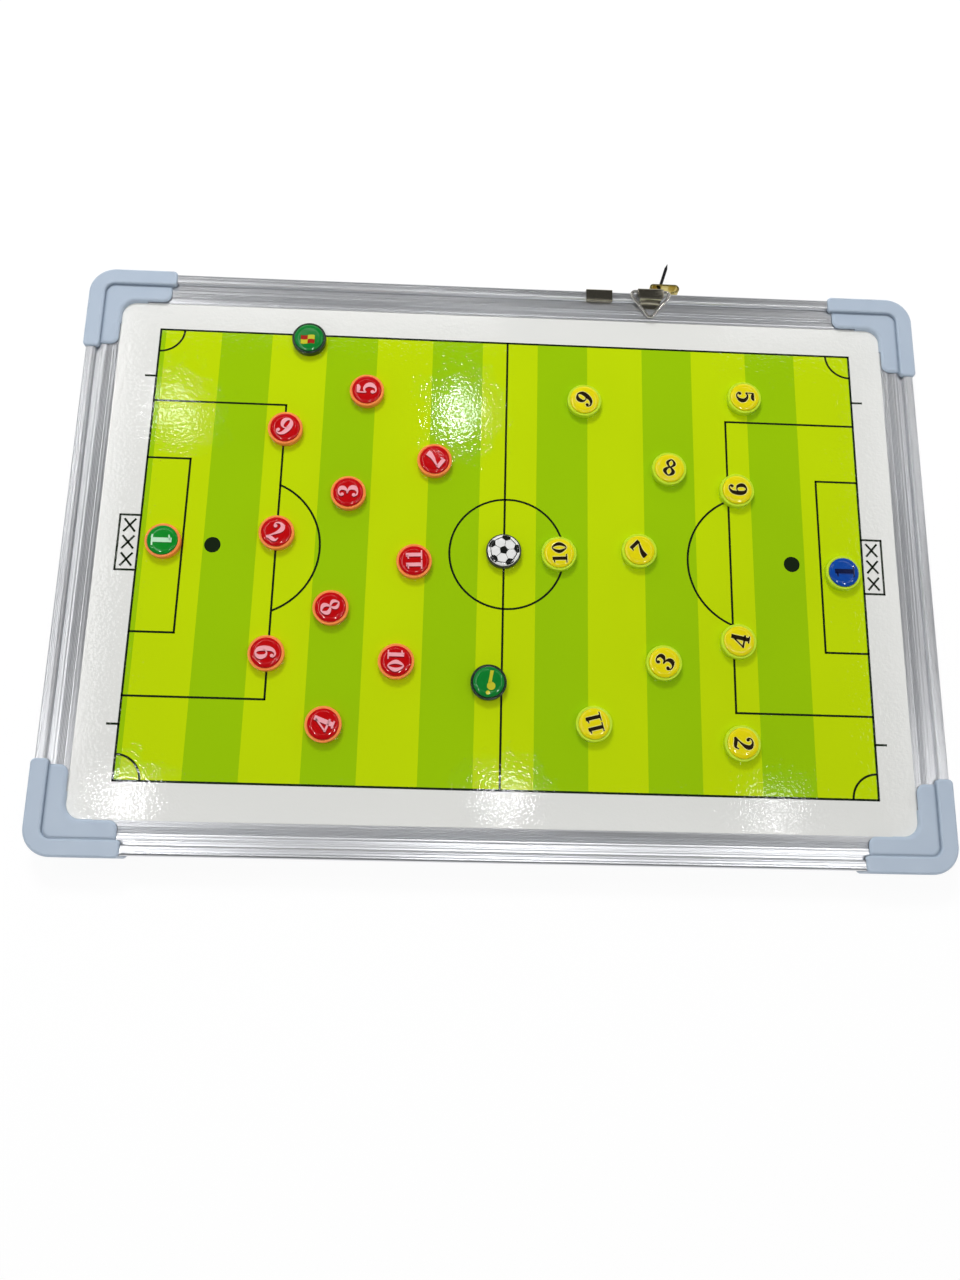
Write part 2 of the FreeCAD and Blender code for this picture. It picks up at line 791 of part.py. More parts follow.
parts = [
    make_sheet("back_sheet", "0", "back_thick"),
    make_sheet("core_board", "back_thick", "core_thick"),
    make_sheet("face_sheet", "back_thick + core_thick", "face_thick"),
]
long_rail = "(frame_length - 2 * rail_setback)"
short_rail = "(frame_breadth - 2 * rail_setback)"
parts += [
    make_rail("rail_top", long_rail, "0", top, 0),
    make_rail("rail_left", short_rail, left, "0", 90),
    make_rail("rail_bottom", long_rail, "0", bottom, 180),
    make_rail("rail_right", short_rail, right, "0", 270),
]
parts += [make_cap(f"corner_cap_{name}", *spot) for name, spot in zip(CORNERS, corner_places)]
parts.append(make_corner_screws("corner_screws", corner_places))
long_clip = make_clip("hanger_clip_long", "long_clip_width", "long_clip_place", LONG_CLIP_TOP, long_tail)
taper_tongue(long_clip)
parts += [
    make_clip("hanger_clip_short", "short_clip_width", "short_clip_place", SHORT_CLIP_TOP, short_tail),
    long_clip,
    make_ring("hanger_ring"),
    make_hook("picture_hook"),
    make_nail("hook_nail"),
]
token_pieces = make_token_pieces()
parts += [make_token(label, shares, token_pieces) for label, shares in TOKEN_SHARES.items()]
doc.recompute()

for item in doc.Objects:
    if "Invalid" in item.State or "Error" in item.State:
        raise RuntimeError(f"{item.Label}: {item.State}")
for part in parts:
    if part.Shape.isNull() or not part.Shape.isValid():
        raise RuntimeError(f"{part.Label}: no valid solid")

os.makedirs("parts", exist_ok=True)
for part in parts:
    part.Shape.exportStep(f"parts/{part.Label}.step")
    print(part.Label, len(part.Shape.Solids), "solids", round(part.Shape.Volume, 1), "mm3")
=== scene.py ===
"""Magnetic football tactics board: printed face, ribbed rails, corner caps, hanger and tokens."""

import logging
import math
from dataclasses import dataclass, field
from enum import Enum
from typing import Any, Callable, Iterable, Sequence

import bpy
from mathutils import Matrix, Vector


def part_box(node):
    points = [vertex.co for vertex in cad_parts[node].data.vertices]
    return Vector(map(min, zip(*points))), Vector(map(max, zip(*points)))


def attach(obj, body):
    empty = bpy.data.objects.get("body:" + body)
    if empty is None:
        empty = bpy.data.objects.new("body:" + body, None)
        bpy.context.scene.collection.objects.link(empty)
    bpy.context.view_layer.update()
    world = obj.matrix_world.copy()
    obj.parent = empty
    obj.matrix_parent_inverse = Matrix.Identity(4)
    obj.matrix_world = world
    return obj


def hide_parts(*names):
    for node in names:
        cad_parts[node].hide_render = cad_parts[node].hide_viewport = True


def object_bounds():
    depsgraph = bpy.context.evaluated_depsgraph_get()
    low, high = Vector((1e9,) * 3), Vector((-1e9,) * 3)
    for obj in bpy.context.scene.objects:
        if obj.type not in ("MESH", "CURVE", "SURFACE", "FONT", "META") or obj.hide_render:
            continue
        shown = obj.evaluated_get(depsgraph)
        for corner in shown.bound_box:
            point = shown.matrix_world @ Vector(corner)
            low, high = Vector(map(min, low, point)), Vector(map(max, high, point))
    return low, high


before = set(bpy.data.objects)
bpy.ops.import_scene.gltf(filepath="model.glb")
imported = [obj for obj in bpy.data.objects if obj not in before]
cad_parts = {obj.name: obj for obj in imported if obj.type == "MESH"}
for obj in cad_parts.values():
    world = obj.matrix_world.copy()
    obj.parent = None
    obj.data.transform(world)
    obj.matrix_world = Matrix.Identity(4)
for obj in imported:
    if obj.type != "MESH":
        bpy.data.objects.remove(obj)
CAD_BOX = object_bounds()

LOG = logging.getLogger("tactics_board")
MM = 0.001
Point = tuple[float, float]
Station = tuple[float, float, float]
Piece = bpy.types.Object
Tree = bpy.types.NodeTree
Socket = bpy.types.NodeSocket

# Corners of a new mesh, and of a solid's copy, that lie closer than this are one.
MERGE = 0.001 * MM
SOLID_MERGE = 0.002 * MM
# The step between the caps' two bands: the middle of its round in a corner, and its radius, in millimetres.
STEP_MIDDLE = (212.55, 142.95)
STEP_ROUND = 5.0


class Pick(Enum):
    """What an edit works on, as the mesh selection mode of vertices, edges and faces."""

    EDGE = (False, True, False)
    FACE = (False, False, True)


class Run(Enum):
    """The direction in which a rail was drawn through its die."""

    ALONG_X = "along_x"
    ALONG_Y = "along_y"


def linear(colour: str) -> tuple[float, float, float, float]:
    """Turns an sRGB hex value into linear red, green, blue and alpha.

    Args:
        colour: six hex digits with a leading hash.

    Returns:
        The four linear channels.
    """
    channels = []
    for start in (1, 3, 5):
        share = int(colour[start : start + 2], 16) / 255
        channels.append(share / 12.92 if share <= 0.04045 else ((share + 0.055) / 1.055) ** 2.4)
    return (channels[0], channels[1], channels[2], 1.0)


def add_node(tree: Tree, kind: str, inputs: dict[Any, Any], **settings: Any) -> bpy.types.Node:
    """Adds a node with its settings, and fills or links its inputs.

    Args:
        tree: the node tree of a material or the world.
        kind: the node's type name.
        inputs: socket name or number to a value, or to the socket that feeds it.
        settings: properties of the node itself.

    Returns:
        The new node.
    """
    item = tree.nodes.new(kind)
    for name, value in settings.items():
        setattr(item, name, value)
    for key, value in inputs.items():
        if isinstance(value, Socket):
            tree.links.new(value, item.inputs[key])
        else:
            item.inputs[key].default_value = value
    return item


def per_metre(millimetres: float) -> float:
    """The texture scale at which a pattern repeats about every so many millimetres."""
    return 1.0 / (millimetres * MM)


@dataclass(frozen=True)
class Finish:
    """A finish with its material, which is made once and shared."""

    name: str

    def material(self) -> bpy.types.Material:
        """The material of this finish.

        Returns:
            The one material that carries the finish's name.
        """
        known = bpy.data.materials.get(self.name)
        if known:
            return known
        made = bpy.data.materials.new(self.name)
        made.use_nodes = True
        tree = made.node_tree
        tree.nodes.clear()
        shader = self.shade(tree)
        add_node(tree, "ShaderNodeOutputMaterial", {"Surface": shader.outputs[0]})
        return made

    def shade(self, tree: Tree) -> bpy.types.Node:
        """Builds the surface; each finish has its own."""
        raise NotImplementedError

    def mottled(
        self, tree: Tree, place: Socket, scale: float, detail: float, first: str, second: str
    ) -> tuple[Socket, Socket]:
        """Two colours that a cloudy pattern blends.

        Args:
            tree: the material's nodes.
            place: the coordinates that the pattern lies on.
            scale: how many clouds there are in one unit of these.
            detail: how many finer layers the clouds have.
            first: the colour where the pattern is low.
            second: the colour where it is high.

        Returns:
            The pattern's value and the blended colour.
        """
        cloud = add_node(tree, "ShaderNodeTexNoise", {"Vector": place, "Scale": scale, "Detail": detail})
        tone = add_node(
            tree,
            "ShaderNodeMix",
            {"Factor": cloud.outputs["Fac"], "A": linear(first), "B": linear(second)},
            data_type="RGBA",
        )
        return cloud.outputs["Fac"], tone.outputs["Result"]

    def relief(self, tree: Tree, place: Socket, size_mm: float, detail: float, depth_mm: float) -> Socket:
        """A surface that swells and dips in a cloudy pattern.

        Args:
            tree: the material's nodes.
            place: the object coordinates.
            size_mm: the size of the swells.
            detail: how many finer layers they have.
            depth_mm: how deep they are.

        Returns:
            The bent normal.
        """
        swell = add_node(
            tree, "ShaderNodeTexNoise", {"Vector": place, "Scale": per_metre(size_mm), "Detail": detail}
        )
        bump = add_node(
            tree,
            "ShaderNodeBump",
            {"Strength": 1.0, "Distance": depth_mm * MM, "Height": swell.outputs["Fac"]},
        )
        return bump.outputs["Normal"]


@dataclass(frozen=True)
class PrintedFilm(Finish):
    """Ink on coated steel under a clear gloss film with the fine orange peel of a rolled laminate."""

    ink: str = "#EDEDE9"
    tint: str = "#E5E6E3"
    cloud_mm: float = 90.0
    peel_mm: float = 1.4
    peel_depth_mm: float = 0.044
    roughness: float = 0.03
    ior: float = 1.45

    def shade(self, tree: Tree) -> bpy.types.Node:
        """Ink with slow unevenness under a wavy clear gloss.

        Args:
            tree: the material's nodes.

        Returns:
            The surface shader.
        """
        place = add_node(tree, "ShaderNodeTexCoord", {}).outputs["Object"]
        _, ink = self.mottled(tree, place, per_metre(self.cloud_mm), 2.0, self.ink, self.tint)
        wave = self.relief(tree, place, self.peel_mm, 1.0, self.peel_depth_mm)
        return add_node(
            tree,
            "ShaderNodeBsdfPrincipled",
            {"Base Color": ink, "Roughness": self.roughness, "IOR": self.ior, "Normal": wave},
        )


@dataclass(frozen=True)
class DrawnAluminium(Finish):
    """Satin anodised extrusion: fine ribs and die lines along the rail break the light into streaks.

    Real die lines are finer; these are drawn as coarse as they need to show.
    """

    run: Run = Run.ALONG_X
    light: str = "#E9EAEC"
    dark: str = "#CACCD1"
    line_mm: float = 2.2
    run_mm: float = 6000.0
    line_depth_mm: float = 0.007
    rib_mm: float = 1.5
    rib_depth_mm: float = 0.06
    bright_roughness: float = 0.24
    dull_roughness: float = 0.38

    def shade(self, tree: Tree) -> bpy.types.Node:
        """Metal with streaks drawn out along the rail.

        Args:
            tree: the material's nodes.

        Returns:
            The surface shader.
        """
        place = add_node(tree, "ShaderNodeTexCoord", {}).outputs["Object"]
        along_x = self.run is Run.ALONG_X
        fine, slow = per_metre(self.line_mm), per_metre(self.run_mm)
        stretch = (slow, fine, fine) if along_x else (fine, slow, fine)
        drawn = add_node(tree, "ShaderNodeMapping", {"Vector": place, "Scale": stretch})
        lines, tone = self.mottled(tree, drawn.outputs["Vector"], 1.0, 2.0, self.dark, self.light)
        gloss = add_node(
            tree,
            "ShaderNodeMapRange",
            {"Value": lines, "To Min": self.bright_roughness, "To Max": self.dull_roughness},
        )
        # The wave pattern repeats at every tenth of pi in its own scaled coordinates.
        ribs = add_node(
            tree,
            "ShaderNodeTexWave",
            {"Vector": place, "Scale": per_metre(self.rib_mm) * math.pi / 10},
            bands_direction="Y" if along_x else "X",
        )
        bent = None
        for depth_mm, height in ((self.rib_depth_mm, ribs.outputs["Fac"]), (self.line_depth_mm, lines)):
            inputs = {"Strength": 1.0, "Distance": depth_mm * MM, "Height": height}
            if bent:
                inputs["Normal"] = bent
            bent = add_node(tree, "ShaderNodeBump", inputs).outputs["Normal"]
        return add_node(
            tree,
            "ShaderNodeBsdfPrincipled",
            {"Base Color": tone, "Metallic": 1.0, "Roughness": gloss.outputs["Result"], "Normal": bent},
        )


@dataclass(frozen=True)
class MouldedAbs(Finish):
    """Injection-moulded ABS: even colour, a soft satin gloss and the faint grain of the mould.

    The real grain is finer; it is drawn as coarse as it needs to show.
    """

    colour: str = "#B8C6D6"
    shade_colour: str = "#AFBED0"
    cloud_mm: float = 14.0
    grain_mm: float = 0.5
    grain_depth_mm: float = 0.004
    roughness: float = 0.38
    roughness_spread: float = 0.05
    ior: float = 1.53

    def tint(self, tree: Tree, place: Socket, tone: Socket) -> Socket:
        """The colour as the mould left it, for other finishes to change."""
        return tone

    def shade(self, tree: Tree) -> bpy.types.Node:
        """Satin plastic with mould grain.

        Args:
            tree: the material's nodes.

        Returns:
            The surface shader.
        """
        place = add_node(tree, "ShaderNodeTexCoord", {}).outputs["Object"]
        cloud, tone = self.mottled(
            tree, place, per_metre(self.cloud_mm), 3.0, self.colour, self.shade_colour
        )
        gloss = add_node(
            tree,
            "ShaderNodeMapRange",
            {
                "Value": cloud,
                "To Min": self.roughness - self.roughness_spread,
                "To Max": self.roughness + self.roughness_spread,
            },
        )
        return add_node(
            tree,
            "ShaderNodeBsdfPrincipled",
            {
                "Base Color": self.tint(tree, place, tone),
                "Roughness": gloss.outputs["Result"],
                "IOR": self.ior,
                "Normal": self.relief(tree, place, self.grain_mm, 2.0, self.grain_depth_mm),
            },
        )


@dataclass(frozen=True)
class SeamedAbs(MouldedAbs):
    """The caps' ABS: satin, with painted shade in the crease at the foot of their step.

    The step follows a rounded rectangle about the board's middle. The painted shade comes up from
    dust_mm inside of it to dust_full_mm inside of it, and goes again between the two
    distances of dust_gone_mm outside.
    """

    # The colour of the painted shade at the foot of the step, and how much of it shows there at most.
    dust: str = "#8E9DAE"
    dust_share: float = 0.6
    dust_mm: float = 2.0
    dust_full_mm: float = 0.2
    dust_gone_mm: Point = (0.05, 0.5)

    def tint(self, tree: Tree, place: Socket, tone: Socket) -> Socket:
        """Painted shade over the colour: darkest at the foot of the step, less out over the lower band.

        Args:
            tree: the material's nodes.
            place: the object coordinates.
            tone: the colour without the painted shade.

        Returns:
            The colour with the painted shade.
        """
        nought = (0.0, 0.0, 0.0)
        spot = place
        for operation, other in (
            ("MULTIPLY", (1.0, 1.0, 0.0)),
            ("ABSOLUTE", nought),
            ("SUBTRACT", Vector((*STEP_MIDDLE, 0.0)) * MM),
            ("MAXIMUM", nought),
        ):
            spot = add_node(tree, "ShaderNodeVectorMath", {0: spot, 1: other}, operation=operation).outputs[0]
        reach = add_node(tree, "ShaderNodeVectorMath", {0: spot}, operation="LENGTH").outputs["Value"]
        shares = []
        for start, stop, low, high in (
            (STEP_ROUND - self.dust_mm, STEP_ROUND - self.dust_full_mm, 0.0, self.dust_share),
            (STEP_ROUND + self.dust_gone_mm[0], STEP_ROUND + self.dust_gone_mm[1], 1.0, 0.0),
        ):
            ramp = add_node(
                tree,
                "ShaderNodeMapRange",
                {
                    "Value": reach,
                    "From Min": start * MM,
                    "From Max": stop * MM,
                    "To Min": low,
                    "To Max": high,
                },
                interpolation_type="SMOOTHSTEP",
            )
            shares.append(ramp.outputs["Result"])
        both = add_node(tree, "ShaderNodeMath", {0: shares[0], 1: shares[1]}, operation="MULTIPLY")
        # Painted shade: the colour is darkened towards the foot of the step, in the crease.
        dull = add_node(
            tree,
            "ShaderNodeMix",
            {"Factor": both.outputs[0], "A": tone, "B": linear(self.dust)},
            data_type="RGBA",
        )
        return dull.outputs["Result"]


@dataclass(frozen=True)
class PlatedMetal(Finish):
    """Stamped or drawn metal with its plating: small dents and handling marks in the shine."""

    colour: str = "#C9C6C0"
    stain: str = "#A9A59C"
    mark_mm: float = 2.4
    mark_depth_mm: float = 0.01
    roughness: float = 0.16
    bright_share: float = 0.6
    dull_share: float = 1.5

    def shade(self, tree: Tree) -> bpy.types.Node:
        """Metal with soft marks in colour, gloss and relief.

        Args:
            tree: the material's nodes.

        Returns:
            The surface shader.
        """
        place = add_node(tree, "ShaderNodeTexCoord", {}).outputs["Object"]
        marks, tone = self.mottled(tree, place, per_metre(self.mark_mm), 3.0, self.colour, self.stain)
        gloss = add_node(
            tree,
            "ShaderNodeMapRange",
            {
                "Value": marks,
                "To Min": self.roughness * self.bright_share,
                "To Max": self.roughness * self.dull_share,
            },
        )
        dents = add_node(
            tree, "ShaderNodeBump", {"Strength": 1.0, "Distance": self.mark_depth_mm * MM, "Height": marks}
        )
        return add_node(
            tree,
            "ShaderNodeBsdfPrincipled",
            {
                "Base Color": tone,
                "Metallic": 1.0,
                "Roughness": gloss.outputs["Result"],
                "Normal": dents.outputs["Normal"],
            },
        )


@dataclass(frozen=True)
class ZincSheet(Finish):
    """Hot-dip galvanised sheet: crystals of zinc, each with its own grey and gloss."""

    light: str = "#C4C8CB"
    dark: str = "#9CA1A6"
    crystal_mm: float = 9.0
    bright_roughness: float = 0.34
    dull_roughness: float = 0.52

    def shade(self, tree: Tree) -> bpy.types.Node:
        """Grey metal in patches.

        Args:
            tree: the material's nodes.

        Returns:
            The surface shader.
        """
        place = add_node(tree, "ShaderNodeTexCoord", {}).outputs["Object"]
        crystal = add_node(
            tree, "ShaderNodeTexVoronoi", {"Vector": place, "Scale": per_metre(self.crystal_mm)}
        )
        grains = add_node(tree, "ShaderNodeSeparateColor", {"Color": crystal.outputs["Color"]})
        tone = add_node(
            tree,
            "ShaderNodeMix",
            {"Factor": grains.outputs["Red"], "A": linear(self.dark), "B": linear(self.light)},
            data_type="RGBA",
        )
        gloss = add_node(
            tree,
            "ShaderNodeMapRange",
            {
                "Value": grains.outputs["Green"],
                "To Min": self.bright_roughness,
                "To Max": self.dull_roughness,
            },
        )
        return add_node(
            tree,
            "ShaderNodeBsdfPrincipled",
            {"Base Color": tone.outputs["Result"], "Metallic": 1.0, "Roughness": gloss.outputs["Result"]},
        )


@dataclass(frozen=True)
class PressedFibre(Finish):
    """Pressed fibre or ferrite: a dull body with a fine speckle."""

    colour: str = "#B49C78"
    speck: str = "#8E7A5C"
    speck_mm: float = 0.8
    roughness: float = 0.85

    def shade(self, tree: Tree) -> bpy.types.Node:
        """Dull speckled body.

        Args:
            tree: the material's nodes.

        Returns:
            The surface shader.
        """
        place = add_node(tree, "ShaderNodeTexCoord", {}).outputs["Object"]
        _, tone = self.mottled(tree, place, per_metre(self.speck_mm), 4.0, self.colour, self.speck)
        return add_node(
            tree, "ShaderNodeBsdfPrincipled", {"Base Color": tone, "Roughness": self.roughness}
        )


@dataclass(frozen=True)
class DomedPrint(Finish):
    """Printed paper under poured clear resin: full colour below a hard, even gloss."""

    colour: str = "#D0101C"
    mottle: str = "#B80C18"
    mottle_mm: float = 3.0
    swell_mm: float = 4.0
    swell_depth_mm: float = 0.02
    paper_roughness: float = 0.5
    resin_roughness: float = 0.1
    resin_ior: float = 1.45

    def shade(self, tree: Tree) -> bpy.types.Node:
        """Colour with a clear coat that swells a little.

        Args:
            tree: the material's nodes.

        Returns:
            The surface shader.
        """
        place = add_node(tree, "ShaderNodeTexCoord", {}).outputs["Object"]
        _, tone = self.mottled(tree, place, per_metre(self.mottle_mm), 3.0, self.colour, self.mottle)
        wave = self.relief(tree, place, self.swell_mm, 0.0, self.swell_depth_mm)
        return add_node(
            tree,
            "ShaderNodeBsdfPrincipled",
            {
                "Base Color": tone,
                "Roughness": self.paper_roughness,
                "Specular IOR Level": 0.0,
                "Coat Weight": 1.0,
                "Coat Roughness": self.resin_roughness,
                "Coat IOR": self.resin_ior,
                "Normal": wave,
                "Coat Normal": wave,
            },
        )


BORDER_WHITE = PrintedFilm("white_coated_steel")
TURF_LIGHT = PrintedFilm("light_turf_ink", ink="#C8E400", tint="#BED800")
TURF_DARK = PrintedFilm("dark_turf_ink", ink="#A0CE00", tint="#98C402")
LINE_INK = PrintedFilm("line_ink", ink="#12200C", tint="#182612", cloud_mm=20.0)
RAIL_X = DrawnAluminium("drawn_aluminium_long", run=Run.ALONG_X)
RAIL_Y = DrawnAluminium("drawn_aluminium_short", run=Run.ALONG_Y)
CAP_ABS = SeamedAbs("moulded_abs_cap")
NICKEL_STRIP = PlatedMetal("nickel_plated_strip", colour="#BBB6A6", stain="#918B7B", roughness=0.1)
NICKEL_WIRE = PlatedMetal("nickel_plated_wire", colour="#D2D0CB", stain="#B9B6AF", roughness=0.12)
HOOK_BRASS = PlatedMetal(
    "stamped_brass", colour="#E9DC94", stain="#9C8640", mark_mm=4.5, mark_depth_mm=0.12, roughness=0.2
)
NAIL_STEEL = PlatedMetal("blued_nail_steel", colour="#3A3A3C", stain="#2A2A2C", roughness=0.3)
SCREW_ZINC = PlatedMetal("zinc_plated_screw", colour="#BDBFC2", stain="#9FA2A6", roughness=0.28)
BACK_ZINC = ZincSheet("galvanised_sheet")
CORE_FIBRE = PressedFibre("pressed_core_board")
FERRITE = PressedFibre("sintered_ferrite", colour="#38383A", speck="#2A2A2C", speck_mm=0.5, roughness=0.6)


def deselect() -> None:
    """Leaves edit mode and clears the selection."""
    if bpy.context.object and bpy.context.object.mode != "OBJECT":
        bpy.ops.object.mode_set(mode="OBJECT")
    bpy.ops.object.select_all(action="DESELECT")


def activate(piece: Piece) -> None:
    """Makes a piece the one that operators act on.

    Args:
        piece: the object to select.
    """
    deselect()
    piece.select_set(True)
    bpy.context.view_layer.objects.active = piece


def edit(piece: Piece, pick: Pick, test: Callable[[Vector, Vector], bool]) -> None:
    """Enters edit mode with the faces or edges selected that a test chooses.

    Args:
        piece: the mesh to edit.
        pick: edges or faces.
        test: takes a face's middle and normal, or an edge's two ends.
    """
    activate(piece)
    bpy.context.tool_settings.mesh_select_mode = pick.value
    mesh = piece.data
    for group in (mesh.vertices, mesh.edges, mesh.polygons):
        group.foreach_set("select", [False] * len(group))
    if pick is Pick.FACE:
        for face in mesh.polygons:
            face.select = test(face.center, face.normal)
    else:
        for edge in mesh.edges:
            ends = [mesh.vertices[number].co for number in edge.vertices]
            edge.select = test(*ends)
    bpy.ops.object.mode_set(mode="EDIT")


def edit_all(piece: Piece) -> None:
    """Enters edit mode with the whole mesh selected.

    Args:
        piece: the mesh to edit.
    """
    activate(piece)
    bpy.ops.object.mode_set(mode="EDIT")
    bpy.ops.mesh.select_all(action="SELECT")


def leave_edit() -> None:
    """Goes back to object mode."""
    bpy.ops.object.mode_set(mode="OBJECT")


def apply_modifier(piece: Piece, kind: str, **settings: Any) -> None:
    """Adds a modifier with its settings and applies it.

    Args:
        piece: the mesh that it changes.
        kind: the modifier's type name.
        settings: properties of the modifier.
    """
    activate(piece)
    modifier = piece.modifiers.new(kind.lower(), kind)
    for name, value in settings.items():
        setattr(modifier, name, value)
    bpy.ops.object.modifier_apply(modifier=modifier.name)


def smooth(piece: Piece, degrees: float) -> None:
    """Shades a piece smooth across edges flatter than an angle."""
    activate(piece)
    bpy.ops.object.shade_smooth_by_angle(angle=math.radians(degrees))


def fix_normals(piece: Piece) -> None:
    """Merges doubles and turns every face outwards.

    Args:
        piece: the mesh to mend.
    """
    edit_all(piece)
    bpy.ops.mesh.remove_doubles(threshold=MERGE)
    bpy.ops.mesh.normals_make_consistent(inside=False)
    leave_edit()


def settle(piece: Piece) -> None:
    """Puts a piece's place into its mesh, so that its object sits at the origin."""
    activate(piece)
    bpy.ops.object.transform_apply(location=True, rotation=True, scale=True)


def dress(piece: Piece, name: str, finish: Finish, body: str) -> Piece:
    """Names a finished piece, gives it its material and lets it ride on its body.

    Args:
        piece: the finished mesh object.
        name: its name.
        finish: its finish.
        body: the body that carries it.

    Returns:
        The piece.
    """
    settle(piece)
    piece.name = name
    piece.data.name = name
    piece.data.materials.clear()
    piece.data.materials.append(finish.material())
    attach(piece, body)
    LOG.info("%s on %s: %d faces", name, body, len(piece.data.polygons))
    return piece


def coat(node: str, finish: Finish) -> None:
    """Gives a solid that stays as it is the material of its finish.

    Args:
        node: the solid's name.
        finish: its finish.
    """
    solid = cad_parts[node]
    solid.data.materials.clear()
    solid.data.materials.append(finish.material())


def join(pieces: Sequence[Piece]) -> Piece:
    """Joins several meshes into the first one.

    Args:
        pieces: the meshes, at least one.

    Returns:
        The joined mesh.
    """
    deselect()
    for piece in pieces:
        piece.select_set(True)
    bpy.context.view_layer.objects.active = pieces[0]
    if len(pieces) > 1:
        bpy.ops.object.join()
    return pieces[0]


def duplicate(piece: Piece, place: Vector) -> Piece:
    """Copies a piece with a mesh of its own and moves the copy's mesh to a place.

    Args:
        piece: the model.
        place: where the model's origin comes to lie.

    Returns:
        The copy.
    """
    twin = piece.copy()
    twin.data = piece.data.copy()
    bpy.context.scene.collection.objects.link(twin)
    twin.data.transform(Matrix.Translation(place))
    return twin


def refine_node(
    node: str,
    finish: Finish,
    body: str,
    degrees: float,
    cutter: Piece | None = None,
) -> Piece:
    """Replaces a solid by a merged copy of it with smooth rounds and clean flats.

    Args:
        node: the solid's name.
        finish: its finish.
        body: the body that carries it.
        degrees: the angle above which an edge stays sharp.
        cutter: a mesh that is cut away from the copy, and used up.

    Returns:
        The refined piece.
    """
    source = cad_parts[node]
    piece = bpy.data.objects.new(f"{node}_skin", source.data.copy())
    bpy.context.scene.collection.objects.link(piece)
    edit_all(piece)
    bpy.ops.mesh.remove_doubles(threshold=SOLID_MERGE)
    leave_edit()
    if cutter:
        apply_modifier(piece, "BOOLEAN", object=cutter, operation="DIFFERENCE", solver="EXACT")
        bpy.data.objects.remove(cutter)
        fix_normals(piece)
        bpy.ops.mesh.customdata_custom_splitnormals_clear()
    smooth(piece, degrees)
    apply_modifier(piece, "WEIGHTED_NORMAL", keep_sharp=True, weight=80)
    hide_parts(node)
    return dress(piece, f"{node}_skin", finish, body)


def slab(outline: Sequence[Point], low: float, high: float) -> Piece:
    """A flat closed slab over an outline, all in millimetres.

    Args:
        outline: the corners in order.
        low: the level of its underside.
        high: the level of its top.

    Returns:
        The slab.
    """
    piece = patch(outline, low)
    edit_all(piece)
    bpy.ops.mesh.extrude_region_move(TRANSFORM_OT_translate={"value": (0, 0, (high - low) * MM)})
    leave_edit()
    fix_normals(piece)
    return piece


def curve_through(stations: Sequence[Station], closed: bool, steps: int) -> list[Station]:
    """A smooth line through stations of place and width.

    Args:
        stations: x, y and width of each station.
        closed: whether the line runs back to its start.
        steps: how many points each stretch gets.

    Returns:
        The stations of the smooth line.
    """
    count = len(stations)
    stretches = count if closed else count - 1
    line = []
    for index in range(stretches):
        ring = []
        for offset in (-1, 0, 1, 2):
            number = index + offset
            ring.append(stations[number % count if closed else max(0, min(count - 1, number))])
        for step in range(steps):
            t = step / steps
            weights = (
                -0.5 * t + t * t - 0.5 * t**3,
                1 - 2.5 * t * t + 1.5 * t**3,
                0.5 * t + 2 * t * t - 1.5 * t**3,
                -0.5 * t * t + 0.5 * t**3,
            )
            line.append(tuple(sum(w * s[axis] for w, s in zip(weights, ring)) for axis in range(3)))
    if not closed:
        line.append(stations[-1])
    return line


def ribbon(line: Sequence[Station], closed: bool = False, level: float = 0.0) -> Piece:
    """A flat strip of changing width along a line, all in millimetres.

    Args:
        line: x, y and width of each point.
        closed: whether the strip runs back to its start.
        level: the level that it lies on.

    Returns:
        The strip, as an open mesh that faces up.
    """
    count = len(line)
    points = [*line, line[0]] if closed else line
    deselect()
    bpy.ops.mesh.primitive_grid_add(x_subdivisions=1, y_subdivisions=len(points) - 1)
    piece = bpy.context.object
    for index, (x, y, width) in enumerate(points):
        if closed:
            before, after = line[(index - 1) % count], line[(index + 1) % count]
        else:
            before, after = line[max(index - 1, 0)], line[min(index + 1, count - 1)]
        ahead = Vector((after[0] - before[0], after[1] - before[1])).normalized()
        side = Vector((ahead.y, -ahead.x)) * (width / 2)
        for number, sign in ((2 * index, -1), (2 * index + 1, 1)):
            spot = Vector((x, y)) + side * sign
            piece.data.vertices[number].co = Vector((spot.x, spot.y, level)) * MM
    fix_normals(piece)
    if piece.data.polygons[0].normal.z < 0:
        edit_all(piece)
        bpy.ops.mesh.flip_normals()
        leave_edit()
    return piece


def disc(x: float, y: float, radius: float, level: float = 0.0, sides: int = 32) -> Piece:
    """A flat round patch that faces up, in millimetres.

    Args:
        x: its middle along the board.
        y: its middle across the board.
        radius: its radius.
        level: the level that it lies on.
        sides: how many corners it has.

    Returns:
        The patch, as an open mesh.
    """
    deselect()
    bpy.ops.mesh.primitive_circle_add(
        vertices=sides, radius=radius * MM, fill_type="TRIFAN", location=Vector((x, y, level)) * MM
    )
    piece = bpy.context.object
    settle(piece)
    return piece


def patch(outline: Sequence[Point], level: float = 0.0) -> Piece:
    """A flat patch over an outline that faces up, in millimetres.

    Args:
        outline: the corners in order.
        level: the level that it lies on.

    Returns:
        The patch, as an open mesh.
    """
    deselect()
    bpy.ops.mesh.primitive_circle_add(vertices=len(outline), fill_type="NGON")
    piece = bpy.context.object
    for vertex, (x, y) in zip(piece.data.vertices, outline):
        vertex.co = Vector((x, y, level)) * MM
    piece.data.update()
    return piece


def ellipse(x: float, y: float, rx: float, ry: float, side: float, thin: float) -> list[Station]:
    """Stations of an upright oval stroke, thick at its sides and thin above and below."""
    return [(x, y + ry, thin), (x - rx, y, side), (x, y - ry, thin), (x + rx, y, side)]


@dataclass(frozen=True)
class Numeral:
    """One bold serif numeral, drawn with a broad pen in a box one high.

    strokes are smooth lines, ovals are closed ones, bars are straight and balls end a stroke.
    """

    width: float
    strokes: tuple[tuple[Station, ...], ...] = ()
    ovals: tuple[tuple[float, float, float, float, float, float], ...] = ()
    bars: tuple[tuple[Station, ...], ...] = ()
    balls: tuple[Station, ...] = ()


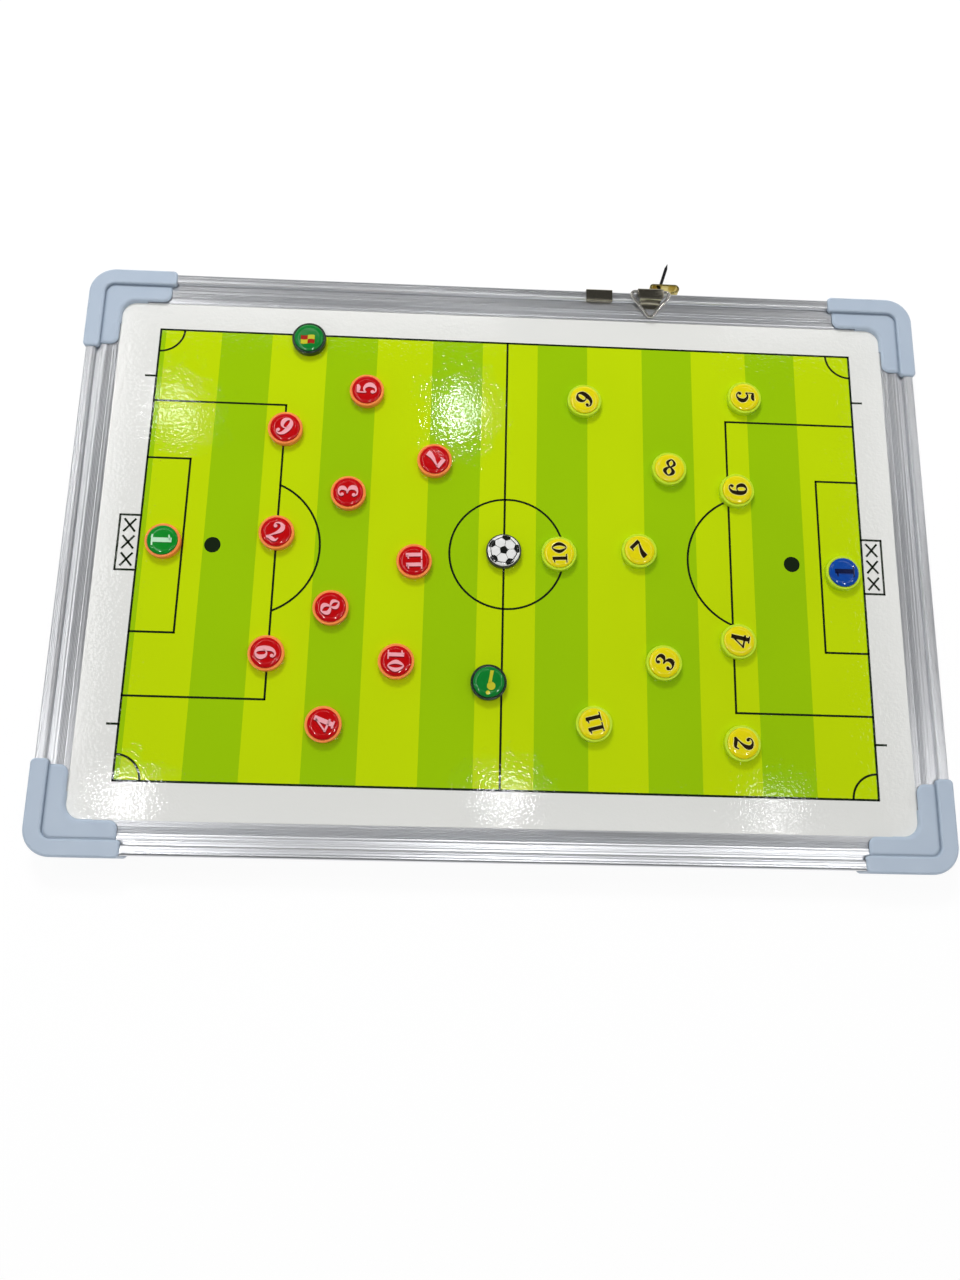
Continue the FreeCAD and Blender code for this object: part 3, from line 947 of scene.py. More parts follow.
SIX_STROKE = (
    (0.50, 0.83, 0.04), (0.43, 0.94, 0.05), (0.31, 0.96, 0.07), (0.16, 0.80, 0.14), (0.105, 0.47, 0.19),
    (0.14, 0.17, 0.16), (0.29, 0.03, 0.06), (0.43, 0.13, 0.13), (0.475, 0.30, 0.17), (0.42, 0.49, 0.12),
    (0.30, 0.56, 0.05), (0.20, 0.50, 0.04), (0.15, 0.40, 0.03),
)
# How much broader the pen is than drawn, the gap between two digits, and how finely the lines are divided.
PEN = 1.3
DIGIT_GAP = 0.04
STROKE_STEPS = 6
OVAL_STEPS = 10
BAR_STEPS = 4
BALL_SIDES = 20
NUMERALS: dict[str, Numeral] = {
    "0": Numeral(0.56, ovals=((0.28, 0.5, 0.185, 0.465, 0.19, 0.055),)),
    "1": Numeral(
        0.44,
        strokes=(((0.26, 0.96, 0.05), (0.17, 0.87, 0.075), (0.04, 0.835, 0.04)),),
        bars=(((0.24, 0.03, 0.18), (0.24, 0.985, 0.18)), ((0.03, 0.03, 0.06), (0.45, 0.03, 0.06))),
    ),
    "2": Numeral(
        0.56,
        strokes=(
            (
                (0.065, 0.73, 0.03), (0.11, 0.89, 0.05), (0.27, 0.965, 0.075), (0.43, 0.87, 0.16),
                (0.455, 0.70, 0.18), (0.36, 0.48, 0.11), (0.20, 0.26, 0.05), (0.06, 0.09, 0.04),
            ),
            (
                (0.04, 0.05, 0.09), (0.17, 0.10, 0.14), (0.33, 0.07, 0.14), (0.46, 0.09, 0.09),
                (0.52, 0.24, 0.03),
            ),
        ),
        balls=((0.145, 0.73, 0.09),),
    ),
    "3": Numeral(
        0.54,
        strokes=(
            (
                (0.05, 0.78, 0.03), (0.11, 0.91, 0.05), (0.25, 0.965, 0.07), (0.40, 0.87, 0.15),
                (0.41, 0.71, 0.16), (0.31, 0.57, 0.07), (0.18, 0.53, 0.05),
            ),
            (
                (0.18, 0.53, 0.05), (0.34, 0.49, 0.08), (0.455, 0.34, 0.17), (0.44, 0.16, 0.17),
                (0.29, 0.035, 0.07), (0.14, 0.06, 0.05), (0.05, 0.20, 0.03),
            ),
        ),
        balls=((0.125, 0.78, 0.085), (0.13, 0.20, 0.09)),
    ),
    "4": Numeral(
        0.60,
        bars=(
            ((0.42, 0.95, 0.06), (0.06, 0.27, 0.06)),
            ((0.02, 0.27, 0.075), (0.58, 0.27, 0.075)),
            ((0.42, 0.03, 0.17), (0.42, 0.985, 0.17)),
            ((0.26, 0.03, 0.06), (0.58, 0.03, 0.06)),
        ),
    ),
    "5": Numeral(
        0.54,
        strokes=(
            ((0.10, 0.955, 0.06), (0.22, 0.92, 0.13), (0.36, 0.915, 0.14), (0.47, 0.97, 0.06)),
            (
                (0.10, 0.52, 0.05), (0.20, 0.62, 0.07), (0.34, 0.60, 0.11), (0.46, 0.44, 0.17),
                (0.46, 0.24, 0.18), (0.32, 0.05, 0.08), (0.16, 0.04, 0.05), (0.055, 0.19, 0.03),
            ),
        ),
        bars=(((0.115, 0.965, 0.05), (0.10, 0.52, 0.05)),),
        balls=((0.135, 0.20, 0.09),),
    ),
    "6": Numeral(0.56, strokes=(SIX_STROKE,), balls=((0.425, 0.81, 0.085),)),
    "7": Numeral(
        0.54,
        strokes=(
            (
                (0.49, 0.92, 0.05), (0.40, 0.68, 0.08), (0.28, 0.40, 0.15), (0.225, 0.16, 0.22),
                (0.22, 0.02, 0.22),
            ),
        ),
        bars=(((0.03, 0.89, 0.15), (0.51, 0.89, 0.15)), ((0.05, 0.985, 0.05), (0.05, 0.70, 0.05))),
    ),
    "8": Numeral(
        0.56,
        ovals=((0.28, 0.745, 0.155, 0.215, 0.125, 0.055), (0.28, 0.27, 0.185, 0.235, 0.16, 0.06)),
    ),
    "9": Numeral(
        0.56,
        strokes=(tuple((0.56 - x, 1.0 - y, width) for x, y, width in SIX_STROKE),),
        balls=((0.135, 0.19, 0.085),),
    ),
}


def figure_parts(text: str, tall: float, wide: float, grow: float) -> list[Piece]:
    """The flat pieces of a number, centred on the origin, in millimetres.

    Args:
        text: the number's digits.
        tall: the height of a digit.
        wide: how much wider than drawn each digit is.
        grow: how much broader each stroke is than the pen makes it.

    Returns:
        Open flat meshes that face up.
    """
    total = sum(NUMERALS[digit].width for digit in text) + DIGIT_GAP * (len(text) - 1)
    start = -total / 2
    parts = []
    for digit in text:
        shape = NUMERALS[digit]

        def fit(station: Station) -> Station:
            """One station in millimetres about the number's middle."""
            x, y, width = station
            return ((start + x) * tall * wide, (y - 0.5) * tall, width * tall * PEN + grow)

        for stroke in shape.strokes:
            parts.append(ribbon([fit(s) for s in curve_through(stroke, False, STROKE_STEPS)]))
        for oval in shape.ovals:
            parts.append(ribbon([fit(s) for s in curve_through(ellipse(*oval), True, OVAL_STEPS)], True))
        for bar in shape.bars:
            parts.append(ribbon([fit(s) for s in curve_through(bar, False, BAR_STEPS)]))
        for x, y, radius in shape.balls:
            spot = fit((x, y, radius))
            parts.append(disc(spot[0], spot[1], radius * tall + grow / 2, sides=BALL_SIDES))
        start += shape.width + DIGIT_GAP
    return parts


@dataclass(frozen=True)
class TokenStyle:
    """The colours of one kind of token, and the record's slot that it follows, which is not used.

    second is the print's other colour: a painted shadow under a numeral, dropped by shade_drop,
    a pale edge round a yellow numeral, a ball's seams or a flag's other fields.
    """

    slot: str
    rim: Finish
    dome: Finish
    mark: Finish
    second: Finish
    tall: float = 10.4
    wide: float = 1.15
    rim_width: float = 1.4
    # How much broader the under layer is, and how far a numeral's painted shadow is dropped towards the
    # board's bottom edge.
    shade_grow: float = 0.1
    shade_drop: float = 0.55


RED_TEAM = TokenStyle(
    "token_red",
    MouldedAbs("orange_abs_rim", colour="#FF9242", shade_colour="#FA8838", roughness=0.34),
    DomedPrint("red_print_under_resin", colour="#CC030B", mottle="#B60208"),
    DomedPrint("pale_pink_numeral", colour="#FBB4BC", mottle="#F6A4AE"),
    # Painted shadow under the red team's numerals.
    DomedPrint("maroon_painted_numeral_shadow", colour="#7C0A16", mottle="#860A16"),
)
YELLOW_TEAM = TokenStyle(
    "token_yellow",
    MouldedAbs("lime_abs_rim", colour="#C8E81A", shade_colour="#C0E012", roughness=0.34),
    DomedPrint("yellow_print_under_resin", colour="#ECE208", mottle="#E4D204"),
    DomedPrint("brown_black_numeral", colour="#1E1404", mottle="#261A08"),
    DomedPrint("cream_numeral_edge", colour="#F0E88E", mottle="#EAE07C"),
    tall=9.7,
    wide=1.25,
    shade_grow=0.7,
    shade_drop=0.0,
)
GREEN_KEEPER = TokenStyle(
    "token_green",
    RED_TEAM.rim,
    DomedPrint("green_print_under_resin", colour="#0A9028", mottle="#088422"),
    DomedPrint("pale_green_numeral", colour="#CBEFD0", mottle="#BCE8C4"),
    # Painted shadow under the green keeper's numeral.
    DomedPrint("deep_green_painted_numeral_shadow", colour="#06681C", mottle="#087020"),
    wide=1.35,
    shade_drop=0.25,
)
BLUE_KEEPER = TokenStyle(
    "token_blue",
    YELLOW_TEAM.rim,
    DomedPrint("blue_print_under_resin", colour="#0E4CA8", mottle="#0A429A"),
    DomedPrint("navy_numeral", colour="#0A143C", mottle="#0E1A48"),
    # Painted shadow under the blue keeper's numeral.
    DomedPrint("grey_blue_painted_numeral_shadow", colour="#1C3C84", mottle="#20428C"),
    wide=1.35,
    shade_drop=0.4,
)
BALL = TokenStyle(
    "token_ball",
    MouldedAbs("black_abs_rim", colour="#181A18", shade_colour="#202220", roughness=0.32),
    DomedPrint("white_print_under_resin", colour="#F4F4F2", mottle="#E8E8E6"),
    DomedPrint("black_pattern", colour="#101210", mottle="#181A18"),
    DomedPrint("grey_seam", colour="#8C8E8C", mottle="#7C7E7C"),
    rim_width=0.8,
)
REFEREE = TokenStyle(
    "token_referee",
    MouldedAbs("dark_green_abs_rim", colour="#0B2812", shade_colour="#0F2E16", roughness=0.24),
    DomedPrint("referee_green_under_resin", colour="#0C8430", mottle="#08762A"),
    DomedPrint("whistle_yellow", colour="#CFC82A", mottle="#BFC030"),
    DomedPrint("flag_red", colour="#AC2010", mottle="#9C180C"),
)


class Emblem(Enum):
    """A figure on a token in place of a number."""

    FOOTBALL = "football"
    WHISTLE = "whistle"
    FLAG = "flag"


@dataclass(frozen=True)
class TokenPlan:
    """What one token shows: its style, its number or figure, and how far that is turned."""

    style: TokenStyle
    mark: str | Emblem
    turn: float = 0.0


def team_plans(
    team: str, style: TokenStyle, turns: Sequence[float], keeper: TokenPlan
) -> dict[str, TokenPlan]:
    """What a team's tokens show: the numbers from two up, and the keeper's.

    Args:
        team: the team's word in the names of its nodes.
        style: the colours of its numbered tokens.
        turns: how far each number is turned, in degrees, from two up.
        keeper: what the keeper's token shows.

    Returns:
        The plans by node.
    """
    plans = {}
    for number, turn in enumerate(turns, start=2):
        plans[f"token_{team}_{number:02d}"] = TokenPlan(style, str(number), turn)
    plans[f"token_{team}_keeper"] = keeper
    return plans


RED_TURNS = (-27, 88, 69, 90, -88, -126, -60, -34, -90, 93)
YELLOW_TURNS = (-90, 56, 78, -90, 90, 45, -15, 51, 93, 105)
TOKENS: dict[str, TokenPlan] = {
    **team_plans("red", RED_TEAM, RED_TURNS, TokenPlan(GREEN_KEEPER, "1", -90)),
    **team_plans("yellow", YELLOW_TEAM, YELLOW_TURNS, TokenPlan(BLUE_KEEPER, "1", 90)),
    "token_ball": TokenPlan(BALL, Emblem.FOOTBALL, 8),
    "token_whistle": TokenPlan(REFEREE, Emblem.WHISTLE),
    "token_flag": TokenPlan(REFEREE, Emblem.FLAG),
}


@dataclass
class EmblemPrint:
    """The figures of the tokens without a number, as flat pieces about the origin, in millimetres.

    A ball's edge field is given by reach and angle. Its lines sag inwards between two angles.
    """

    ball_fields: int = 5
    ball_middle: float = 2.35
    ball_edge: tuple[Point, ...] = (
        (5.0, 0), (6.4, 18), (7.3, 17), (8.15, 14), (8.2, 0), (8.15, -14), (7.3, -17), (6.4, -18),
    )
    line: float = 0.42
    line_reach: float = 6.95
    line_sag: float = 0.25
    line_start: float = 15.0
    line_turn: float = 42.0
    line_steps: int = 9
    seam: float = 0.3
    seam_reach: tuple[float, ...] = (2.2, 3.2, 4.2, 5.2)
    mouthpiece: tuple[Point, ...] = (
        (0.75, 5.95), (0.2, 2.0), (-0.35, -0.6), (1.5, -0.4), (1.75, 2.0), (2.55, 5.7),
    )
    chamber: Station = (1.2, -2.1, 2.1)
    bead: Station = (-0.35, -5.5, 1.05)
    flag_wide: float = 3.7
    flag_tall: float = 2.5
    flag_middle: Point = (-0.5, -1.5)
    wave_height: float = 0.35
    wave_rate: float = 0.8
    wave_steps: int = 4

    def polar(self, reach: float, degrees: float) -> Point:
        """A point at a distance and an angle from a token's middle."""
        return (reach * math.cos(math.radians(degrees)), reach * math.sin(math.radians(degrees)))

    def turns(self) -> list[float]:
        """The angles of a ball's edge fields."""
        return [360 / self.ball_fields * number for number in range(self.ball_fields)]

    def patches(self) -> list[Piece]:
        """A ball's dark fields: one in the middle, five at the edge and the lines between those.

        Returns:
            The fields and lines.
        """
        parts = [patch([self.polar(self.ball_middle, turn) for turn in self.turns()])]
        for turn in self.turns():
            parts.append(patch([self.polar(reach, turn + angle) for reach, angle in self.ball_edge]))
            line = []
            for step in range(self.line_steps + 1):
                share = step / self.line_steps
                reach = self.line_reach - self.line_sag * math.sin(math.pi * share)
                line.append((*self.polar(reach, turn + self.line_start + self.line_turn * share), self.line))
            parts.append(ribbon(line))
        return parts

    def seams(self) -> list[Piece]:
        """The thin lines from a ball's middle field out to the fields at its edge.

        Returns:
            The lines.
        """
        return [
            ribbon([(*self.polar(reach, turn), self.seam) for reach in self.seam_reach])
            for turn in self.turns()
        ]

    def whistle(self) -> list[Piece]:
        """A whistle with its mouthpiece up, its round chamber and its bead."""
        return [patch(self.mouthpiece), disc(*self.chamber), disc(*self.bead)]

    def checks(self, colour: int) -> list[Piece]:
        """The fields of one colour of a waving flag of two by two fields.

        Args:
            colour: 0 for the fields on one diagonal and 1 for the others.

        Returns:
            The fields.
        """
        left, low = self.flag_middle
        parts = []
        for row, column in ((0, 0), (0, 1), (1, 0), (1, 1)):
            if (row + column) % 2 != colour:
                continue
            low_edge, high_edge = [], []
            for step in range(self.wave_steps + 1):
                x = (column - 1 + step / self.wave_steps) * self.flag_wide
                y = low + (row - 1) * self.flag_tall + self.wave_height * math.sin(self.wave_rate * x)
                low_edge.append((x + left, y))
                high_edge.append((x + left, y + self.flag_tall))
            parts.append(patch(low_edge + high_edge[::-1]))
        return parts


@dataclass
class TokenSet:
    """The magnetic tokens: rimmed cup, ferrite magnet, crowned insert and the figure on it.

    Lengths are in millimetres. A level face is told by its normal, and a face in the middle or a corner on a
    ring by its distance from there. Ink is dropped onto an insert from drop_height. Numbers of two digits are
    smaller by pair_share and wider by pair_wide.
    """

    radius: float = 9.2
    draft: float = 0.3
    height: float = 3.6
    bevel: float = 0.6
    insert_depth: float = 1.2
    insert_rise: float = 1.2
    insert_gap: float = 0.05
    insert_edge: float = 0.15
    crown_drop: float = 0.7
    crown_reach: float = 1.5
    crown_round: float = 6.0
    magnet_radius: float = 6.2
    magnet_thick: float = 1.5
    magnet_recess: float = 0.2
    seat_edge: float = 0.12
    magnet_edge: float = 0.3
    edge_steps: int = 2
    rim_steps: int = 5
    crown_steps: int = 8
    sides: int = 72
    sharp: float = 40.0
    crown_sharp: float = 60.0
    level_normal: float = 0.9
    flat_normal: float = 0.99
    middle_reach: float = 0.05
    ring_reach: float = 0.03
    ring_level: float = 0.001
    ink_lift: float = 0.03
    ink_cuts: int = 2
    drop_height: float = 20.0
    pair_share: float = 0.8
    pair_wide: float = 1.15
    emblems: EmblemPrint = field(default_factory=EmblemPrint)

    def build(self) -> None:
        """Makes each kind of piece once and puts a copy of it at every token's place."""
        magnet = self.magnet()
        shells: dict[float, tuple[Piece, Piece]] = {}
        for node, plan in TOKENS.items():
            style = plan.style
            if style.rim_width not in shells:
                shells[style.rim_width] = (self.cup(style.rim_width), self.insert(style.rim_width))
            cup, insert = shells[style.rim_width]
            low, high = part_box(node)
            place = Vector(((low.x + high.x) / 2, (low.y + high.y) / 2, low.z))
            shell = duplicate(cup, place)
            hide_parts(node)
            dress(shell, f"{node}_cup", style.rim, node)
            dress(duplicate(magnet, place), f"{node}_magnet", FERRITE, node)
            top = duplicate(insert, place)
            dress(top, f"{node}_insert", style.dome, node)
            self.figure(node, plan, top, place)
        for model in [magnet, *(piece for pair in shells.values() for piece in pair)]:
            bpy.data.objects.remove(model)

    def round_blank(self, radius: float, low: float, high: float) -> Piece:
        """A round blank between two levels, in millimetres.

        Args:
            radius: its radius.
            low: the level of its underside.
            high: the level of its top.

        Returns:
            The blank about the origin.
        """
        deselect()
        bpy.ops.mesh.primitive_cylinder_add(
            vertices=self.sides,
            radius=radius * MM,
            depth=(high - low) * MM,
            location=(0, 0, (low + high) / 2 * MM),
        )
        piece = bpy.context.object
        settle(piece)
        return piece

    def bevel_ring(self, piece: Piece, radius: float, level: float, offset: float, steps: int) -> None:
        """Rounds a ring of edges, all in millimetres.

        Args:
            piece: the mesh to edit.
            radius: the ring's radius.
            level: the ring's height.
            offset: how far in the round starts.
            steps: how many faces the round gets.
        """

        def on_ring(spot: Vector) -> bool:
            """Whether a corner lies on the ring."""
            near = abs(spot.xy.length / MM - radius) < self.ring_reach
            return near and abs(spot.z / MM - level) < self.ring_level

        edit(piece, Pick.EDGE, lambda first, last: on_ring(first) and on_ring(last))
        bpy.ops.mesh.bevel(offset=offset * MM, segments=steps, affect="EDGES")
        leave_edit()

    def cup(self, rim: float) -> Piece:
        """The rimmed cup, with its seat above and the magnet's recess below.

        Args:
            rim: the width of its rim.

        Returns:
            The cup about the origin.
        """
        piece = self.round_blank(self.radius, 0.0, self.height)
        edit(piece, Pick.FACE, lambda middle, normal: normal.z < -self.level_normal)
        share = (self.radius - self.draft) / self.radius
        bpy.ops.transform.resize(value=(share, share, 1.0))
        well = self.radius - self.draft - self.magnet_radius - self.insert_gap
        bpy.ops.mesh.inset(thickness=well * MM)
        depth = self.magnet_thick + self.magnet_recess
        bpy.ops.mesh.extrude_region_move(TRANSFORM_OT_translate={"value": (0, 0, depth * MM)})
        leave_edit()
        edit(piece, Pick.FACE, lambda middle, normal: normal.z > self.level_normal)
        bpy.ops.mesh.inset(thickness=rim * MM)
        bpy.ops.mesh.extrude_region_move(TRANSFORM_OT_translate={"value": (0, 0, -self.insert_depth * MM)})
        leave_edit()
        self.bevel_ring(piece, self.radius - rim, self.height, self.seat_edge, self.edge_steps)
        self.bevel_ring(piece, self.radius, self.height, self.bevel, self.rim_steps)
        smooth(piece, self.sharp)
        return piece

    def insert(self, rim: float) -> Piece:
        """The clear-topped insert: flat in the middle, with a crown that rolls down to its edge.

        Args:
            rim: the width of the cup's rim round it.

        Returns:
            The insert about the origin.
        """
        seat = self.height - self.insert_depth
        top = self.height + self.insert_rise
        edge, shoulder = self.radius - rim - self.insert_gap, top - self.crown_drop
        piece = self.round_blank(edge, seat, shoulder)
        slope = math.atan2(self.crown_drop, self.crown_reach)
        flat = edge - self.crown_reach - self.crown_round * math.tan(slope / 2)
        reach, level = edge, shoulder
        for step in range(self.crown_steps, -1, -1):
            angle = slope * step / self.crown_steps
            ring = flat + self.crown_round * math.sin(angle)
            height = top - self.crown_round * (1 - math.cos(angle))
            edit(piece, Pick.FACE, self.is_middle)
            bpy.ops.mesh.inset(thickness=(reach - ring) * MM)
            bpy.ops.transform.translate(value=(0, 0, (height - level) * MM))
            leave_edit()
            reach, level = ring, height
        self.bevel_ring(piece, edge, shoulder, self.insert_edge, self.edge_steps)
        smooth(piece, self.crown_sharp)
        return piece

    def is_middle(self, middle: Vector, normal: Vector) -> bool:
        """Whether a face is the flat one in a token's middle."""
        return normal.z > self.flat_normal and middle.xy.length < self.middle_reach * MM

    def magnet(self) -> Piece:
        """The ferrite disc in the cup's underside, with a broken edge.

        Returns:
            The disc about the origin.
        """
        low = self.magnet_recess
        piece = self.round_blank(self.magnet_radius, low, low + self.magnet_thick)
        self.bevel_ring(piece, self.magnet_radius, low, self.magnet_edge, self.edge_steps)
        smooth(piece, self.sharp)
        return piece

    def figure(self, node: str, plan: TokenPlan, top: Piece, place: Vector) -> None:
        """Prints a token's number or figure on its insert, in two colours; under most numbers the second is a
        painted shadow.

        Args:
            node: the token's name.
            plan: what it shows.
            top: the insert that carries the figure.
            place: the token's place.
        """
        style, drop = plan.style, 0.0
        if isinstance(plan.mark, str):
            pair = len(plan.mark) > 1
            tall = style.tall * (self.pair_share if pair else 1.0)
            wide = style.wide * (self.pair_wide if pair else 1.0)
            under = figure_parts(plan.mark, tall, wide, style.shade_grow)
            over = figure_parts(plan.mark, tall, wide, 0.0)
            drop = style.shade_drop
        elif plan.mark is Emblem.FOOTBALL:
            under, over = self.emblems.seams(), self.emblems.patches()
        elif plan.mark is Emblem.WHISTLE:
            under, over = [], self.emblems.whistle()
        else:
            under, over = self.emblems.checks(1), self.emblems.checks(0)
        turn = Matrix.Rotation(math.radians(plan.turn), 4, "Z")
        if under:
            # Under a number this layer is a painted shadow, dropped towards the board's bottom edge; a yellow
            # numeral's pale edge is not dropped.
            shifted = place + Vector((0, -drop * MM, 0))
            ink = self.print_layer(under, turn, shifted, top, 1)
            dress(ink, f"{node}_second_print_and_painted_shadow", style.second, node)
        ink = self.print_layer(over, turn, place, top, 2)
        dress(ink, f"{node}_print", style.mark, node)

    def print_layer(self, parts: list[Piece], turn: Matrix, place: Vector, top: Piece, layer: int) -> Piece:
        """Lays flat pieces on an insert as one thin layer of ink that follows its crown.

        Args:
            parts: the flat pieces about the origin.
            turn: how they are turned.
            place: where their origin comes to lie.
            top: the insert below them.
            layer: how many layers of ink reach up to their top.

        Returns:
            The layer of ink.
        """
        ink = join(parts)
        above = place + Vector((0, 0, self.drop_height * MM))
        ink.data.transform(Matrix.Translation(above) @ turn)
        edit_all(ink)
        bpy.ops.mesh.quads_convert_to_tris()
        bpy.ops.mesh.subdivide(number_cuts=self.ink_cuts)
        leave_edit()
        apply_modifier(
            ink,
            "SHRINKWRAP",
            target=top,
            wrap_method="PROJECT",
            use_project_z=True,
            use_negative_direction=True,
            use_positive_direction=False,
            offset=layer * self.ink_lift * MM,
        )
        apply_modifier(ink, "SOLIDIFY", thickness=self.ink_lift * MM, offset=-1.0)
        smooth(ink, self.sharp)
        return ink


@dataclass
class PrintedPitch:
    """The printed face: white border, striped turf and the pitch's lines, in millimetres.

    face and ink_level are the levels of the sheet's top and of the lines, and parts are the lines so far.
    """

    middle: Point = (1.54, 1.1)
    askew: float = -0.19
    half_length: float = 188.45
    half_breadth: float = 121.5
    line: float = 1.1
    halfway: float = -0.5
    circle: float = 29.8
    circle_at: Point = (0.95, 0.55)
    box_depth: float = 70.1
    box_half: float = 79.7
    small_depth: float = 22.4
    small_half: float = 47.0
    spot_in: float = 37.7
    spot_radius: float = 4.2
    arc_radius: float = 37.0
    arc_in: float = 55.7
    corner_radius: float = 12.8
    goal_depth: float = 10.6
    goal_half: float = 14.8
    tick_at: float = 93.9
    tick: float = 5.5
    stripe_light: float = 30.0
    stripe_dark: float = 27.2
    stripe_start: float = -185.55
    cross: float = 3.1
    cross_slim: float = 0.85
    cross_apart: float = 9.2
    arc_step: float = 4.0
    arc_least: int = 12
    ink_thick: float = 0.02
    line_layers: int = 3
    face: float = 0.0
    ink_level: float = 0.0
    parts: list[Piece] = field(default_factory=list)

    def build(self) -> None:
        """Prints the face in layers: turf, darker stripes and lines."""
        self.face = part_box("face_sheet")[1].z / MM
        self.ink_level = self.face + self.line_layers * self.ink_thick
        coat("face_sheet", BORDER_WHITE)
        half, level = self.half_length, self.face
        turf = slab(self.rectangle(-half, half), level, level + self.ink_thick)
        dress(turf, "turf_print", TURF_LIGHT, "frame")
        self.stripes()
        self.lines()

    def spot(self, x: float, y: float) -> Point:
        """Where a point about the pitch's middle lies on the board, as the print is a hair askew."""
        turned = Matrix.Rotation(math.radians(self.askew), 2) @ Vector((x, y))
        return (self.middle[0] + turned.x, self.middle[1] + turned.y)

    def rectangle(self, left: float, right: float) -> list[Point]:
        """Corners of a field across the whole breadth of the pitch."""
        low, high = -self.half_breadth, self.half_breadth
        return [self.spot(left, low), self.spot(right, low), self.spot(right, high), self.spot(left, high)]

    def stripes(self) -> None:
        """Mown stripes across the pitch, a dark one after each light one."""
        spans = [(-self.half_length, self.stripe_start)]
        start = self.stripe_start + self.stripe_light
        while start < self.half_length:
            spans.append((start, min(start + self.stripe_dark, self.half_length)))
            start += self.stripe_light + self.stripe_dark
        level = self.face + self.ink_thick
        bands = [slab(self.rectangle(*span), level, level + self.ink_thick) for span in spans]
        dress(join(bands), "turf_stripes", TURF_DARK, "frame")

    def stroke(self, points: Sequence[Point], closed: bool = False) -> None:
        """Adds straight strokes between points about the pitch's middle, with square ends.

        Args:
            points: the ends of the strokes in order.
            closed: whether a stroke runs back to the first point.
        """
        ends = list(points) + ([points[0]] if closed else [])
        half = self.line / 2
        for first, last in zip(ends, ends[1:]):
            ahead = Vector((last[0] - first[0], last[1] - first[1])).normalized() * half
            side = Vector((-ahead.y, ahead.x))
            corners = [
                Vector(first) - ahead - side, Vector(last) + ahead - side,
                Vector(last) + ahead + side, Vector(first) - ahead + side,
            ]
            self.parts.append(patch([self.spot(corner.x, corner.y) for corner in corners], self.ink_level))

    def arc(self, x: float, y: float, radius: float, start: float, stop: float) -> None:
        """Adds a round stroke about a point of the pitch, between two angles in degrees.

        Args:
            x: its middle along the pitch.
            y: its middle across the pitch.
            radius: its radius.
            start: the angle at one end.
            stop: the angle at the other end.
        """
        count = max(self.arc_least, int(abs(stop - start) / self.arc_step))
        line = []
        for number in range(count + 1):
            angle = math.radians(start + (stop - start) * number / count)
            line.append((*self.spot(x + radius * math.cos(angle), y + radius * math.sin(angle)), self.line))
        closed = abs(stop - start) >= 360
        self.parts.append(ribbon(line[:-1] if closed else line, closed, self.ink_level))

    def lines(self) -> None:
        """All the lines of the pitch, the goals and their nets."""
        length, breadth = self.half_length, self.half_breadth
        self.stroke([(-length, -breadth), (length, -breadth), (length, breadth), (-length, breadth)], True)
        self.stroke([(self.halfway, -breadth), (self.halfway, breadth)])
        self.arc(*self.circle_at, self.circle, 0, 360)
        for side in (-1, 1):
            self.half(side)
        ink = join(self.parts)
        apply_modifier(ink, "SOLIDIFY", thickness=self.ink_thick * MM, offset=-1.0)
        dress(ink, "pitch_lines", LINE_INK, "frame")

    def half(self, side: int) -> None:
        """One half's areas, spot, arcs, ticks and goal.

        Args:
            side: -1 for the left half and 1 for the right one.
        """
        goal_line = side * self.half_length
        for depth, half in ((self.box_depth, self.box_half), (self.small_depth, self.small_half)):
            inner = goal_line - side * depth
            self.stroke([(goal_line, -half), (inner, -half), (inner, half), (goal_line, half)])
        spot = goal_line - side * self.spot_in
        self.parts.append(disc(*self.spot(spot, 0.0), self.spot_radius, self.ink_level))
        centre = goal_line - side * self.arc_in
        reach = math.degrees(math.acos((self.box_depth - self.arc_in) / self.arc_radius))
        turn = 180 if side > 0 else 0
        self.arc(centre, 0.0, self.arc_radius, turn - reach, turn + reach)
        for end in (-1, 1):
            start = {(-1, -1): 0, (1, -1): 90, (1, 1): 180, (-1, 1): 270}[(side, end)]
            self.arc(goal_line, end * self.half_breadth, self.corner_radius, start, start + 90)
            self.stroke([(goal_line, end * self.tick_at), (goal_line + side * self.tick, end * self.tick_at)])
        back = goal_line + side * self.goal_depth
        post = self.goal_half
        self.stroke([(goal_line, -post), (back, -post), (back, post), (goal_line, post)])
        self.net(goal_line + side * self.goal_depth / 2)

    def net(self, x: float) -> None:
        """Three crosses in the goal, the sign of a net.

        Args:
            x: the goal's middle along the pitch.
        """
        across = self.cross * self.cross_slim
        for row in (-1, 0, 1):
            y = row * self.cross_apart
            for rise in (self.cross, -self.cross):
                self.stroke([(x - across, y - rise), (x + across, y + rise)])


